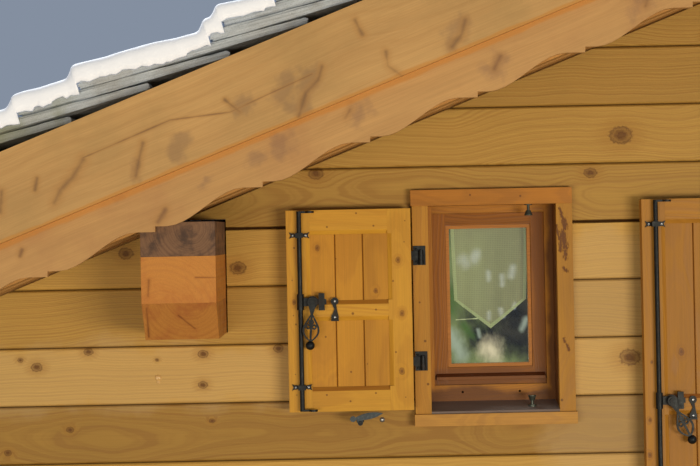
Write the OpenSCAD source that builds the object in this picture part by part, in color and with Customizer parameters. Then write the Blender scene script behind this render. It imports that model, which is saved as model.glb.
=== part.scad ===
// Gable wall bay of a log chalet, seen from outside along +Y. Squared logs carry a
// small and a tall window, each with one hinged shutter, under the verge of a roof
// laid with stone slabs. +X runs along the wall, +Z up, the origin is at its foot.

/* [Wall] */
// Length of the wall bay
wall_length = 3650; // [3500:10:4200]
// Thickness of the logs
wall_t = 140; // [120:5:170]
// Height of one log course
course_h = 200; // [170:5:240]
// Bevel along each log's long edges
log_bevel = 7; // [3:1:12]
// Width of each of a log's two tongues
tongue_w = 18; // [12:1:24]
// Height of the tongues
tongue_h = 12; // [8:1:18]

/* [Roof] */
// Pitch of the roof in degrees
pitch = 21.5; // [19:0.5:24]
// Height of the barge board's top edge over the middle of the wall
fascia_mid_z = 2707; // [2680:1:2850]
// Reach of the barge board's face in front of the wall
verge_out = 495; // [420:5:580]
// Reach of the roof and the purlins past the wall's inner face
roof_in = 60; // [20:5:120]
// Height of the upper barge board, square to the slope
barge_h = 268; // [220:1:300]
// Thickness of the barge board
barge_t = 30; // [20:1:40]
// Height of the scalloped board, from its top to its points
scallop_board_h = 422; // [400:1:460]
// Thickness of the scalloped board
scallop_board_t = 28; // [20:1:40]
// Level distance from one scallop to the next
scallop_pitch = 345; // [280:1:420]
// Height of the small step at each scallop's point
scallop_step = 18; // [8:1:26]
// Depth of the slab bed below the barge board's top edge
bed_drop = 8; // [4:1:20]
// Thickness of the roof boards
roof_board_t = 35; // [24:1:45]
// Height of the counter rafters
counter_h = 112; // [80:1:130]
// Thickness of the ceiling boards over the rafters
ceiling_t = 25; // [18:1:32]
// Height of the rafters
rafter_h = 220; // [180:1:240]
// Width of the rafters
rafter_w = 100; // [80:1:120]

/* [Stone slabs] */
// Thickness of a slab
slab_t = 36.5; // [30:0.5:40]
// Length of a slab down the slope
slab_l = 800; // [700:5:900]
// Angle between a slab and the roof boards
slab_tilt = 7.7; // [6.5:0.1:9]
// Set-back of the slabs' verge edges behind the scalloped board
slab_back = 10; // [10:1:30]
// Gap between slabs side by side
slab_gap = 3; // [1:1:10]

/* [Purlins] */
// Width of a purlin and its corbels
purlin_w = 240; // [200:1:260]
// Height of a purlin
purlin_h = 110; // [90:1:140]
// Height of the upper corbel
upper_corbel_h = 150; // [120:1:180]
// Height of the lower corbel
lower_corbel_h = 121; // [90:1:150]
// Place of the lower purlin along the wall
purlin_x = -1102; // [-1200:1:-1050]
// Distance from the lower purlin to the upper one
purlin_spacing = 2522; // [2440:1:2560]
// Reach of the purlins in front of the wall
purlin_out = 431; // [360:1:440]
// Bevel under the end of the lower corbel
corbel_bevel = 91; // [40:1:115]
// Level seat cut into the rafters over a purlin
purlin_seat = 70; // [40:1:90]
// Open joint left over a purlin where it passes the wall
purlin_joint = 10; // [4:1:14]
// Open joint beside a purlin
purlin_side_joint = 4; // [2:1:8]

/* [Small window] */
// Place of the hinge line along the wall
small_hinge_x = -309; // [-340:1:-280]
// Width of the shutter
small_leaf_w = 424; // [400:1:450]
// Height of the shutter
small_leaf_h = 686; // [640:1:760]
// Height of the shutter's top edge above the foot
small_leaf_top = 1857; // [1840:1:1880]
// Height of the lock over the middle of the shutter
small_lock_rise = 32; // [10:1:40]
// Lean of the hanging handle, positive towards the hinge
small_handle_lean = -4; // [-8:1:30]

/* [Tall window] */
// Place of the hinge line along the wall
tall_hinge_x = 1037; // [1020:1:1060]
// Width of the shutter
tall_leaf_w = 560; // [530:1:580]
// Height of the shutter
tall_leaf_h = 1400; // [1300:1:1450]
// Height of the shutter's top edge above the foot
tall_leaf_top = 1871; // [1850:1:1890]
// Height of the lock over the middle of the shutter
tall_lock_rise = 16; // [10:1:40]
// Lean of the hanging handle, positive towards the hinge
tall_handle_lean = 26; // [-8:1:30]

/* [Window joinery] */
// Width of the casing boards
casing_w = 55; // [45:1:70]
// Thickness of the casing boards
casing_t = 30; // [22:1:36]
// Height of the head board
head_h = 55; // [45:1:70]
// Overhang of the head board and the apron past the casing
head_over = 4; // [0:1:10]
// Height of the apron board below the opening
apron_h = 41; // [30:1:60]
// Thickness of the apron board
apron_t = 44; // [36:1:60]
// Height of the sill board at its front edge
sill_nose = 8; // [6:1:12]
// Rise of the sill board from front to back
sill_rise = 23; // [12:1:30]
// Thickness of the reveal linings
lining_t = 20; // [14:1:28]
// Set-back of the window frame behind the casing's face
frame_back = 122; // [110:1:130]
// Width of the window frame beside the sash
frame_side = 24; // [20:1:32]
// Sideways shift of the frame's opening
frame_shift = -5; // [-6:1:6]
// Height of the window frame over the sash
frame_top = 26; // [18:1:36]
// Height of the window frame below the sash
frame_foot = 87; // [75:1:100]
// Set-back of the sash behind the window frame
sash_back = 9; // [5:1:12]
// Width of the sash stiles
sash_side = 47; // [36:1:60]
// Height of the sash's top rail
sash_top = 42; // [34:1:60]
// Height of the sash's bottom rail
sash_foot = 61; // [48:1:80]
// Width of the glazing beads
bead_w = 12; // [8:1:18]
// Thickness of the glass
glass_t = 4; // [3:1:6]

/* [Shutters] */
// Thickness of a shutter
leaf_t = 42; // [36:1:48]
// Gap between the open shutter and the wall
leaf_gap = 42; // [40:1:50]
// Distance of the hinge line in front of the casing
hinge_out = 14; // [13:1:18]
// Distance from the hinge line to the shutter's edge
hinge_side = 35; // [30:1:42]
// Clearance beside the closed shutter
side_gap = 8; // [6:1:12]
// Clearance over the closed shutter
top_gap = 7; // [5:1:10]
// Clearance below the closed shutter
foot_gap = 21; // [20:1:26]
// Width of the stiles
stile_w = 80; // [70:1:90]
// Height of the top and bottom rails
end_rail_h = 84; // [70:1:100]
// Height of the middle rail
mid_rail_h = 69; // [60:1:90]
// Bevel around the panels
panel_bevel = 14; // [8:1:16]
// Thickness of the panel boards
plank_t = 22; // [16:1:24]
// Width aimed at for the panel boards
plank_w = 90; // [70:1:110]

/* [Ironwork] */
// Radius of the locking rod
rod_r = 8; // [6:0.5:9]
// Distance from the shutter's free edge to the rod
rod_inset = 45; // [38:1:50]
// Distance of the rod guides from the shutter's ends
guide_inset = 85; // [60:1:110]
// Reach of the rod's end hooks
hook_reach = 37; // [34:1:42]
// Thickness of the flat iron
iron_t = 8; // [6:0.5:9]
// Length of the handle from its bolt to its ball
handle_l = 147; // [130:1:160]
// Radius of the handle's ball
handle_ball_r = 15.5; // [12:0.5:17]
// Radius of the hinge pins
pin_r = 4.5; // [4:0.5:5]
// Distance of the hinge straps from the shutter's ends
strap_inset = 162; // [130:1:200]
// Length of the hinge straps on the shutter
strap_l = 250; // [180:5:320]
// Distance from the hinge line to the shutter stay
stay_side = 219; // [190:1:240]
// Distance of the stay's pin below the shutter
stay_drop = 40; // [38:1:46]
// Length of the stay's blade
stay_l = 104; // [90:1:110]
// Width of the stay's blade
stay_w = 22; // [18:1:26]

/* [Curtain] */
// Width of the curtain at its top
curtain_w = 274; // [250:1:290]
// Width of the curtain at its lower corners
curtain_foot_w = 254; // [220:1:274]
// Height of the curtain at its sides
curtain_side_h = 276; // [220:1:320]
// Height of the curtain at its middle point
curtain_mid_h = 378; // [330:1:420]

/* [Hidden] */
$fn = 48;

WOOD = "#B8863F";
TRIM = "#A86A2A";
SASH = "#7A4424";
IRON = "#2A3232";
STONE = "#A3A5A0";

// Gap at a seat, gap round a turning shaft, and an overcut that clears a face
seat = 0.3;
turn = 0.05;
over = 1;

small = 0;
tall = 1;
windows = [small, tall];
hinge_x = [small_hinge_x, tall_hinge_x];
leaf_w = [small_leaf_w, tall_leaf_w];
leaf_h = [small_leaf_h, tall_leaf_h];
leaf_top = [small_leaf_top, tall_leaf_top];
lock_rise = [small_lock_rise, tall_lock_rise];
handle_lean = [small_handle_lean, tall_handle_lean];

wall_out = -wall_t / 2;
wall_in = wall_t / 2;
wall_x0 = -wall_length / 2;
wall_x1 = wall_length / 2;
roof_back = wall_in + roof_in;
package_h = bed_drop + roof_board_t + counter_h + ceiling_t + rafter_h;
rafter_drop = package_h - rafter_h;
ceiling_drop = rafter_drop - ceiling_t;
counter_drop = ceiling_drop - counter_h;
barge_y0 = wall_out - verge_out;
barge_y1 = barge_y0 + barge_t;
scallop_y1 = barge_y1 + scallop_board_t;

casing_y = wall_out - casing_t;
frame_y = casing_y + frame_back;
sash_y = frame_y + sash_back;
glass_y = (sash_y + wall_in) / 2;

leaf_back = wall_out - leaf_gap;
leaf_front = leaf_back - leaf_t;
pivot_y = casing_y - hinge_out;
rod_y = leaf_front - 2 * rod_r;
arm_y0 = rod_y - iron_t / 2;
handle_y1 = rod_y - rod_r - 3;
handle_y0 = handle_y1 - iron_t;
catch_y = 2 * pivot_y - rod_y + 6;

// Height of a line that lies a given depth below the barge board's top edge
function slope_z(x, drop) = fascia_mid_z + x * tan(pitch) - drop / cos(pitch);

// The opening of a window: left, right, bottom and top
function open_x0(i) = hinge_x[i] + hinge_side - side_gap;
function open_x1(i) = open_x0(i) + leaf_w[i] + 2 * side_gap;
function open_z0(i) = leaf_foot(i) - foot_gap;
function open_z1(i) = leaf_top[i] + top_gap;

// The open shutter: left and right edge, foot, lock and rod
function leaf_x1(i) = hinge_x[i] - hinge_side;
function leaf_x0(i) = leaf_x1(i) - leaf_w[i];
function leaf_foot(i) = leaf_top[i] - leaf_h[i];
function lock_z(i) = leaf_top[i] - leaf_h[i] / 2 + lock_rise[i];
function rod_x(i) = leaf_x0(i) + rod_inset;

// The glass line of a sash
function sash_x0(i) = open_x0(i) + frame_side + frame_shift;
function sash_x1(i) = open_x1(i) - frame_side + frame_shift;
function sash_z0(i) = open_z0(i) + frame_foot;
function sash_z1(i) = open_z1(i) - frame_top;

// Extrudes a drawing of the wall's face from one depth to another
module plate(y0, y1) {
    translate([0, y1, 0]) rotate([90, 0, 0]) linear_extrude(y1 - y0) children();
}

// Extrudes a section across the wall, drawn as [y, z], from x0 to x1
module along_wall(x0, x1) {
    translate([x0, 0, 0]) rotate([90, 0, 90]) linear_extrude(x1 - x0) children();
}

module block(x0, x1, y0, y1, z0, z1) {
    translate([x0, y0, z0]) cube([x1 - x0, y1 - y0, z1 - z0]);
}

// A rectangular ring in the wall's plane
module ring(x0, x1, z0, z1, left, right, foot, top, y0, y1) {
    difference() {
        block(x0, x1, y0, y1, z0, z1);
        block(x0 + left, x1 - right, y0 - over, y1 + over, z0 + foot, z1 - top);
    }
}

// A layer of the roof between two depths, with plumb ends at the ends of the bay
module roof_layer(drop0, drop1, y0, y1) {
    plate(y0, y1) polygon([
        [wall_x0, slope_z(wall_x0, drop1)], [wall_x1, slope_z(wall_x1, drop1)],
        [wall_x1, slope_z(wall_x1, drop0)], [wall_x0, slope_z(wall_x0, drop0)]
    ]);
}

purlin_xs = [purlin_x, purlin_x + purlin_spacing];
function purlin_top(x) = slope_z(x - purlin_w / 2, package_h) + purlin_seat * tan(pitch);

module purlin_block(x, y0, y1, z0, z1) {
    block(x - purlin_w / 2, x + purlin_w / 2, y0, y1, z0, z1);
}

// Where a purlin and its two corbels pass the wall
module purlin_hole(x) {
    top = purlin_top(x);
    block(x - purlin_w / 2, x + purlin_w / 2 + purlin_side_joint, wall_out - over, wall_in + over,
        top - purlin_h - upper_corbel_h - lower_corbel_h, top + purlin_joint);
}

// One log course: bevelled edges, two tongues on top and two grooves below
tongue_y = wall_t / 5;
tongue_fit = 0.5;
top_course = ceil((slope_z(wall_x1, package_h) - 2 * tongue_h) / course_h) - 1;

module log_section(course) {
    foot = course * course_h;
    head = course == top_course ? 2 * course_h + foot : foot + course_h;
    b = log_bevel;
    difference() {
        union() {
            polygon([
                [wall_out + b, foot], [wall_in - b, foot], [wall_in, foot + b],
                [wall_in, head - b], [wall_in - b, head], [wall_out + b, head],
                [wall_out, head - b], [wall_out, foot + b]
            ]);
            for (y = [-tongue_y, tongue_y])
                translate([y - tongue_w / 2, head - over]) square([tongue_w, tongue_h + over]);
        }
        if (course > 0) for (y = [-tongue_y, tongue_y])
            translate([y - tongue_w / 2 - tongue_fit, foot - over])
                square([tongue_w + 2 * tongue_fit, tongue_h + tongue_fit + over]);
    }
}

// The wall below the rafters' undersides
module gable_line() {
    plate(wall_out - over, wall_in + over) polygon([
        [wall_x0 - over, -over], [wall_x1 + over, -over],
        [wall_x1 + over, slope_z(wall_x1 + over, package_h + seat)],
        [wall_x0 - over, slope_z(wall_x0 - over, package_h + seat)]
    ]);
}

module rough_opening(i) {
    block(open_x0(i) - lining_t, open_x1(i) + lining_t, wall_out - over, wall_in + over,
        open_z0(i) - lining_t, open_z1(i) + lining_t);
}

module log_courses(first) {
    color(WOOD) difference() {
        intersection() {
            for (course = [first : 2 : top_course])
                along_wall(wall_x0, wall_x1) log_section(course);
            gable_line();
        }
        for (i = windows) rough_opening(i);
        for (x = purlin_xs) purlin_hole(x);
    }
}

module odd_log_courses() { log_courses(0); }
module even_log_courses() { log_courses(1); }

module purlins() {
    color("#6B5040") for (x = purlin_xs)
        purlin_block(x, wall_out - purlin_out, roof_back, purlin_top(x) - purlin_h, purlin_top(x));
}

module upper_corbels() {
    color("#B87830") for (x = purlin_xs) {
        head = purlin_top(x) - purlin_h;
        purlin_block(x, wall_out - purlin_out, wall_in, head - upper_corbel_h, head);
    }
}

module lower_corbels() {
    color("#A05828") for (x = purlin_xs) {
        head = purlin_top(x) - purlin_h - upper_corbel_h;
        tip = wall_out - purlin_out;
        along_wall(x - purlin_w / 2, x + purlin_w / 2) polygon([
            [tip + corbel_bevel, head - lower_corbel_h], [wall_in, head - lower_corbel_h],
            [wall_in, head], [tip, head]
        ]);
    }
}

// Rafters behind the verge, at mid reach and on the wall, seated over the purlins
rafter_ys = [
    scallop_y1,
    (scallop_y1 - rafter_w / 2) / 2 - rafter_w / 4,
    -rafter_w / 2
];

module rafters() {
    color("#A87838") difference() {
        for (y = rafter_ys) roof_layer(rafter_drop, package_h, y, y + rafter_w);
        for (x = purlin_xs)
            purlin_block(x, scallop_y1 - over, roof_back, purlin_top(x) - purlin_h, purlin_top(x));
    }
}

module ceiling_boards() { color("#B08040") roof_layer(ceiling_drop, rafter_drop, scallop_y1, roof_back); }

module counter_rafters() {
    color("#A87838") for (y = rafter_ys) roof_layer(counter_drop, ceiling_drop, y, y + rafter_w);
}

module roof_boards() { color("#A07840") roof_layer(bed_drop, counter_drop, scallop_y1, roof_back); }

module barge_board() { color("#C08A50") roof_layer(0, barge_h, barge_y0, barge_y1); }

// Underside of the scalloped board: from each point a small step up, then an ogee
function ogee(t) = let(u = min(1, max(0, (t - 0.1) / 0.72))) u * u * (3 - 2 * u);
scallop_rise = scallop_pitch * tan(pitch);
scallop_first_x = -1515;
scallop_first = floor((wall_x0 - scallop_first_x) / scallop_pitch);
scallop_last = ceil((wall_x1 - scallop_first_x) / scallop_pitch);
ogee_steps = [0, 0.1, 0.18, 0.25, 0.32, 0.39, 0.46, 0.53, 0.6, 0.67, 0.74, 0.82, 1];

module scallops() {
    plate(barge_y1 - over, scallop_y1 + over) polygon([
        for (k = [scallop_first : scallop_last]) let(
            x = scallop_first_x + k * scallop_pitch,
            z = slope_z(x, scallop_board_h)
        ) each concat([[x, z]], [for (t = ogee_steps)
            [x + 0.5 + t * (scallop_pitch - 0.5), z + scallop_step + ogee(t) * (scallop_rise - scallop_step)]]),
        [wall_x1 + 2 * scallop_pitch, slope_z(wall_x1, -2 * scallop_pitch)],
        [wall_x0 - 2 * scallop_pitch, slope_z(wall_x0, -2 * scallop_pitch)]
    ]);
}

module scalloped_board() {
    color("#B98A5A") intersection() {
        roof_layer(0, scallop_board_h + scallop_rise, barge_y1, scallop_y1);
        scallops();
    }
}

// Slabs: each row's upper end rests on the roof boards, the rest on the rows below it.
// Lengths and verge edges vary by small amounts that follow the row's number.
slab_row = (slab_t + seat) / sin(slab_tilt);
slab_extra = [0, 10, -60, -90, -25, -200, 20, 110, -180, 15, -30, 100, -170, 0, 25, -150, 30];
function slab_len(row) = slab_l + slab_extra[row % len(slab_extra)];
slab_reach = (slab_l + max(slab_extra)) * cos(slab_tilt);
slab_rows = ceil((wall_length / cos(pitch) + slab_reach) / slab_row);
slab_split_y = (barge_y0 + roof_back) / 2;
function wobble(row, spread) = spread * sin(row * 137);

module slab(row, y0, y1) {
    end = wall_x0 / cos(pitch) + slab_row * (row + 0.55);
    intersection() {
        translate([0, 0, fascia_mid_z]) rotate([0, -pitch, 0])
            translate([end, 0, seat - bed_drop]) rotate([0, slab_tilt, 0])
                translate([-slab_len(row), y0, 0]) cube([slab_len(row), y1 - y0, slab_t]);
        block(wall_x0, wall_x1, y0 - over, y1 + over, 0, 2 * fascia_mid_z);
    }
}

module verge_slabs() {
    color(STONE) for (row = [0 : slab_rows])
        slab(row, scallop_y1 + slab_back + wobble(row, 9), slab_split_y + wobble(row, 90));
}

module inner_slabs() {
    color(STONE) for (row = [0 : slab_rows])
        slab(row, slab_split_y + wobble(row, 90) + slab_gap, roof_back);
}

// Casings, sills and linings of both windows
module casing_jambs() {
    color(TRIM) for (i = windows) {
        block(open_x0(i) - casing_w, open_x0(i), casing_y, wall_out, open_z0(i), open_z1(i));
        block(open_x1(i), open_x1(i) + casing_w, casing_y, wall_out, open_z0(i), open_z1(i));
    }
}

module casing_heads() {
    color(TRIM) for (i = windows)
        block(open_x0(i) - casing_w - head_over, open_x1(i) + casing_w, casing_y - head_over, wall_out,
            open_z1(i), open_z1(i) + head_h);
}

module apron_boards() {
    color(TRIM) for (i = windows)
        block(open_x0(i) - casing_w - head_over, open_x1(i) + casing_w + head_over,
            wall_out - apron_t, wall_out, open_z0(i) - apron_h, open_z0(i));
}

// Height of a sill board's top at a given depth
function sill_z(i, y) = open_z0(i) + sill_nose + sill_rise * (y - casing_y) / (frame_y - casing_y);

module sill_boards() {
    color(SASH) for (i = windows) along_wall(open_x0(i), open_x1(i)) polygon([
        [casing_y, open_z0(i)], [frame_y, open_z0(i)], [frame_y, sill_z(i, frame_y)], [casing_y, sill_z(i, casing_y)]
    ]);
}

module reveal_linings() {
    color(TRIM) for (i = windows)
        ring(open_x0(i) - lining_t, open_x1(i) + lining_t, open_z0(i) - lining_t, open_z1(i) + lining_t,
            lining_t, lining_t, lining_t, lining_t, wall_out, wall_in);
}

drain_r = 4;
drain_side = 96;
drain_rise = 62;

module window_frames() {
    color(TRIM) for (i = windows) difference() {
        ring(open_x0(i), open_x1(i), open_z0(i), open_z1(i), frame_side + frame_shift,
            frame_side - frame_shift, frame_foot, frame_top, frame_y, wall_in);
        for (x = [sash_x0(i) + drain_side, sash_x1(i) - drain_side])
            translate([x, frame_y - over, open_z0(i) + drain_rise]) rotate([-90, 0, 0])
                cylinder(r = drain_r, h = 24);
    }
}

module sashes() {
    color(SASH) for (i = windows)
        ring(sash_x0(i) + seat, sash_x1(i) - seat, sash_z0(i) + seat, sash_z1(i) - seat,
            sash_side, sash_side, sash_foot, sash_top, sash_y, wall_in);
}

// A ring or pane set into a sash, held on all sides by its inner edge
module in_sash(i, width, y0, y1) {
    x0 = sash_x0(i) + sash_side + 2 * seat;
    x1 = sash_x1(i) - sash_side - 2 * seat;
    z0 = sash_z0(i) + sash_foot + 2 * seat;
    z1 = sash_z1(i) - sash_top - 2 * seat;
    if (width == 0) block(x0, x1, y0, y1, z0, z1);
    else ring(x0, x1, z0, z1, width, width, width, width, y0, y1);
}

bead_set = 5;
module glazing_beads() {
    color(TRIM) for (i = windows) {
        in_sash(i, bead_w, sash_y + bead_set, glass_y);
        in_sash(i, bead_w, glass_y + glass_t, wall_in - bead_set);
    }
}

module glass_panes() {
    color("#9FB0AA", 0.4) for (i = windows) in_sash(i, 0, glass_y, glass_y + glass_t);
}

// Sloped drip bar on the bottom rail of each sash
drip_out = 18;
drip_h = 22;
drip_rise = 18;
drip_side = 6;
module weather_bars() {
    color(SASH) for (i = windows) {
        z = sash_z0(i) + drip_rise;
        along_wall(sash_x0(i) + drip_side, sash_x1(i) - drip_side) polygon([
            [sash_y, z], [sash_y - drip_out + 4, z], [sash_y - drip_out + 4, z + 3], [sash_y - drip_out, z],
            [sash_y - drip_out, z + drip_h / 2], [sash_y, z + drip_h]
        ]);
    }
}

// The small window's sheer curtain hangs inside from a thin rod across its sash
curtain_t = 3;
curtain_rod_r = 3;
curtain_rod_over = 8;
curtain_clip = 6;
curtain_x = (sash_x0(small) + sash_x1(small)) / 2 + 7;
curtain_top = sash_z1(small) - sash_top + 12;
curtain_y = wall_in + 6;
module curtain() {
    color("#8E9068") plate(curtain_y - curtain_t / 2, curtain_y + curtain_t / 2) polygon([
        [curtain_x - curtain_w / 2, curtain_top], [curtain_x + curtain_w / 2, curtain_top],
        [curtain_x + curtain_foot_w / 2, curtain_top - curtain_side_h],
        [curtain_x, curtain_top - curtain_mid_h],
        [curtain_x - curtain_foot_w / 2, curtain_top - curtain_side_h]
    ]);
}

module curtain_rod() {
    z = curtain_top + curtain_rod_r + seat;
    half = curtain_w / 2 + curtain_rod_over;
    color("#B08C4A") {
        translate([curtain_x - half, curtain_y, z]) rotate([0, 90, 0]) cylinder(r = curtain_rod_r, h = 2 * half);
        for (s = [-1, 1]) translate([curtain_x + s * (half - curtain_rod_over / 2), 0, z])
            block(-curtain_clip / 2, curtain_clip / 2, wall_in, curtain_y + curtain_rod_r,
                -curtain_rod_r - 2, curtain_rod_r + 2);
    }
}

// The studs on the head and sill that the rod's hooks grip when a shutter is closed
catch_neck_r = 5;
catch_r = 14;
catch_base = 3;
catch_bell = [16, 15];
catch_neck = 14;
function catch_x(i) = 2 * hinge_x[i] - rod_x(i) - hook_reach;

module catch_stud(z, neck, bell, s) {
    translate([0, catch_y, z]) mirror([0, 0, s < 0 ? 1 : 0]) {
        cylinder(r = catch_neck_r, h = neck + over);
        translate([0, 0, neck]) cylinder(r1 = catch_neck_r + catch_base, r2 = catch_r, h = bell);
        translate([0, 0, neck + bell]) cylinder(r = catch_r, h = catch_base);
    }
}

module rod_catches() {
    color(IRON) for (i = windows) {
        translate([catch_x(i), 0, 0]) {
            catch_stud(open_z1(i), top_gap + catch_neck, catch_bell[1], -1);
            translate([0, catch_y, open_z1(i) - catch_base]) cylinder(r = catch_r, h = catch_base);
        }
        difference() {
            translate([catch_x(i), 0, 0]) {
                catch_stud(open_z0(i), foot_gap + catch_neck, catch_bell[0], 1);
                translate([0, catch_y, open_z0(i)]) cylinder(r = catch_r, h = sill_nose + sill_rise * 0.6);
            }
            along_wall(open_x0(i), open_x1(i)) polygon([
                [casing_y, open_z0(i) - over], [frame_y, open_z0(i) - over],
                [frame_y, sill_z(i, frame_y)], [casing_y, sill_z(i, casing_y)]
            ]);
        }
    }
}

// Hinge pins on the left casing: a plate, a knuckle below the strap's eye, and the pin
eye_r = 9;
eye_h = 26;
strap_t = 5;
strap_h = 30;
strap_point = 20;
pintle_w = 42;
pintle_h = 66;
pintle_t = 4;
pintle_lap = 16;
pintle_web = 10;
knuckle_h = 18;
pin_over = 6;
function strap_z(i, end) = end == 0 ? leaf_foot(i) + strap_inset : leaf_top[i] - strap_inset;

module hinge_pins() {
    color(IRON) for (i = windows) for (end = [0, 1]) translate([hinge_x[i], 0, strap_z(i, end)]) {
        block(-pintle_w + pintle_lap, pintle_lap, casing_y - pintle_t, casing_y, -pintle_h / 2, pintle_h / 2);
        translate([0, pivot_y, -eye_h / 2 - knuckle_h]) cylinder(r = eye_r, h = knuckle_h - turn);
        block(-pintle_web / 2, pintle_web / 2, pivot_y, casing_y - pintle_t / 2,
            -eye_h / 2 - knuckle_h + pin_over / 2, -eye_h / 2 - pin_over);
        translate([0, pivot_y, -eye_h / 2 - knuckle_h / 2]) cylinder(r = pin_r, h = eye_h + knuckle_h / 2 + pin_over);
        translate([0, pivot_y, eye_h / 2 + turn]) cylinder(r = pin_r + 2, h = pin_over);
    }
}

function stay_z(i) = leaf_foot(i) - stay_drop;
stay_rest = 10;
stay_lift = 18;
stay_t = 5;
stay_lobe_r = 9;
stay_lead = 0.29;
stay_y1 = leaf_front - 5;
stay_y0 = stay_y1 - stay_t;
stay_pin_r = 5;
stay_foot_r = 13;
stay_foot_t = 4;
stay_collar_r = 8;
stay_collar_t = 6;
stay_head_t = 3;
module stay_pins() {
    color(IRON) for (i = windows) translate([hinge_x[i] - stay_side, 0, stay_z(i)]) rotate([90, 0, 0]) {
        translate([0, 0, -wall_out]) cylinder(r = stay_pin_r, h = wall_out - stay_y0 + stay_head_t - turn);
        translate([0, 0, -wall_out]) cylinder(r = stay_foot_r, h = stay_foot_t);
        translate([0, 0, -stay_y1 - stay_collar_t]) cylinder(r = stay_collar_r, h = stay_collar_t - turn);
        translate([0, 0, -stay_y0 + turn]) cylinder(r = stay_collar_r, h = stay_head_t);
    }
}

// Blade of the stay between two arcs, a weight at one end and the pin's lobe below it
module shutter_stay(i) {
    arc_r = (pow(stay_l / 2, 2) + pow(stay_w / 2, 2)) / stay_w;
    middle = stay_l * stay_lead;
    color(IRON) translate([hinge_x[i] - stay_side, stay_y1, stay_z(i)]) rotate([0, -stay_rest, 0])
        rotate([90, 0, 0]) difference() {
            union() {
                intersection() {
                    stay_arc(middle, stay_lift - arc_r + stay_w / 2, arc_r);
                    stay_arc(middle, stay_lift + arc_r - stay_w / 2, arc_r);
                }
                translate([middle - stay_l / 2, stay_lift, 0]) cylinder(r = stay_w / 2 - 1, h = stay_t);
                cylinder(r = stay_lobe_r, h = stay_t);
                block(-stay_lobe_r, stay_lobe_r, 0, stay_lift, 0, stay_t);
            }
            translate([0, 0, -over]) cylinder(r = stay_pin_r + turn, h = stay_t + 2 * over);
        }
}

blade_sides = 160;
module stay_arc(x, y, r) {
    translate([x, y, 0]) cylinder(r = r, h = stay_t, $fn = blade_sides);
}

module small_stay() { shutter_stay(small); }
module tall_stay() { shutter_stay(tall); }

// Shutters, drawn open against the wall with their inner face outwards.
// The edge of a panel opening is bevelled on the face; the boards sit in grooves.
groove_d = 10;
groove_w = plank_t + 2 * seat;
bevel_d = 9;
board_y0 = (leaf_front + leaf_back - plank_t) / 2;
function panel_x0(i) = leaf_x0(i) + stile_w;
function panel_x1(i) = leaf_x1(i) - stile_w;
function mid_z(i) = leaf_top[i] - leaf_h[i] / 2;
// The lower and the upper panel: foot and head
function panels(i) = [
    [leaf_foot(i) + end_rail_h, mid_z(i) - mid_rail_h / 2],
    [mid_z(i) + mid_rail_h / 2, leaf_top[i] - end_rail_h]
];

// A bevel along a stile's edge at one panel; s is the side on which the panel lies
module stile_bevel(x, z0, z1, s) {
    translate([x, leaf_front, z0]) linear_extrude(z1 - z0)
        polygon([[over * s, -over], [-s * panel_bevel, -over], [-s * panel_bevel, 0], [0, bevel_d], [over * s, bevel_d]]);
}

module shutter_stiles(i) {
    color(WOOD) for (s = [-1, 1]) {
        x0 = s < 0 ? leaf_x0(i) : panel_x1(i);
        edge = s < 0 ? panel_x0(i) : panel_x1(i);
        difference() {
            block(x0, x0 + stile_w, leaf_front, leaf_back, leaf_foot(i), leaf_top[i]);
            block(edge - groove_d, edge + groove_d, board_y0 - seat, board_y0 - seat + groove_w,
                leaf_foot(i) + end_rail_h - groove_d, leaf_top[i] - end_rail_h + groove_d);
            for (p = panels(i)) stile_bevel(edge, p[0], p[1], -s);
        }
    }
}

// A rail's section; foot and head tell on which edges a panel lies
module rail(i, z0, z1, foot, head) {
    face = leaf_front;
    along_wall(panel_x0(i), panel_x1(i)) difference() {
        polygon([
            [leaf_back, z0], [leaf_back, z1],
            head ? [face + bevel_d, z1] : [face, z1],
            head ? [face, z1 - panel_bevel] : [face, z1 - over],
            foot ? [face, z0 + panel_bevel] : [face, z0 + over],
            foot ? [face + bevel_d, z0] : [face, z0]
        ]);
        if (foot) translate([board_y0 - seat, z0 - over]) square([groove_w, groove_d + over]);
        if (head) translate([board_y0 - seat, z1 - groove_d]) square([groove_w, groove_d + over]);
    }
}

module shutter_rails(i) {
    color(WOOD) {
        rail(i, leaf_foot(i), leaf_foot(i) + end_rail_h, false, true);
        rail(i, mid_z(i) - mid_rail_h / 2, mid_z(i) + mid_rail_h / 2, true, true);
        rail(i, leaf_top[i] - end_rail_h, leaf_top[i], true, false);
    }
}

// Upright boards of both panels, side by side with small bevels on their edges
board_bevel = 3;
module shutter_boards(i) {
    x0 = panel_x0(i) - groove_d + seat;
    span = panel_x1(i) + groove_d - seat - x0;
    count = round((panel_x1(i) - panel_x0(i)) / plank_w);
    w = span / count;
    b = board_bevel;
    color(WOOD) for (p = panels(i)) for (k = [0 : count - 1])
        translate([x0 + k * w, board_y0, p[0] - groove_d + seat])
            linear_extrude(p[1] - p[0] + 2 * groove_d - 2 * seat) polygon([
                [seat / 2, b], [b, 0], [w - b, 0], [w - seat / 2, b],
                [w - seat / 2, plank_t - b], [w - b, plank_t], [b, plank_t], [seat / 2, plank_t - b]
            ]);
}

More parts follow.
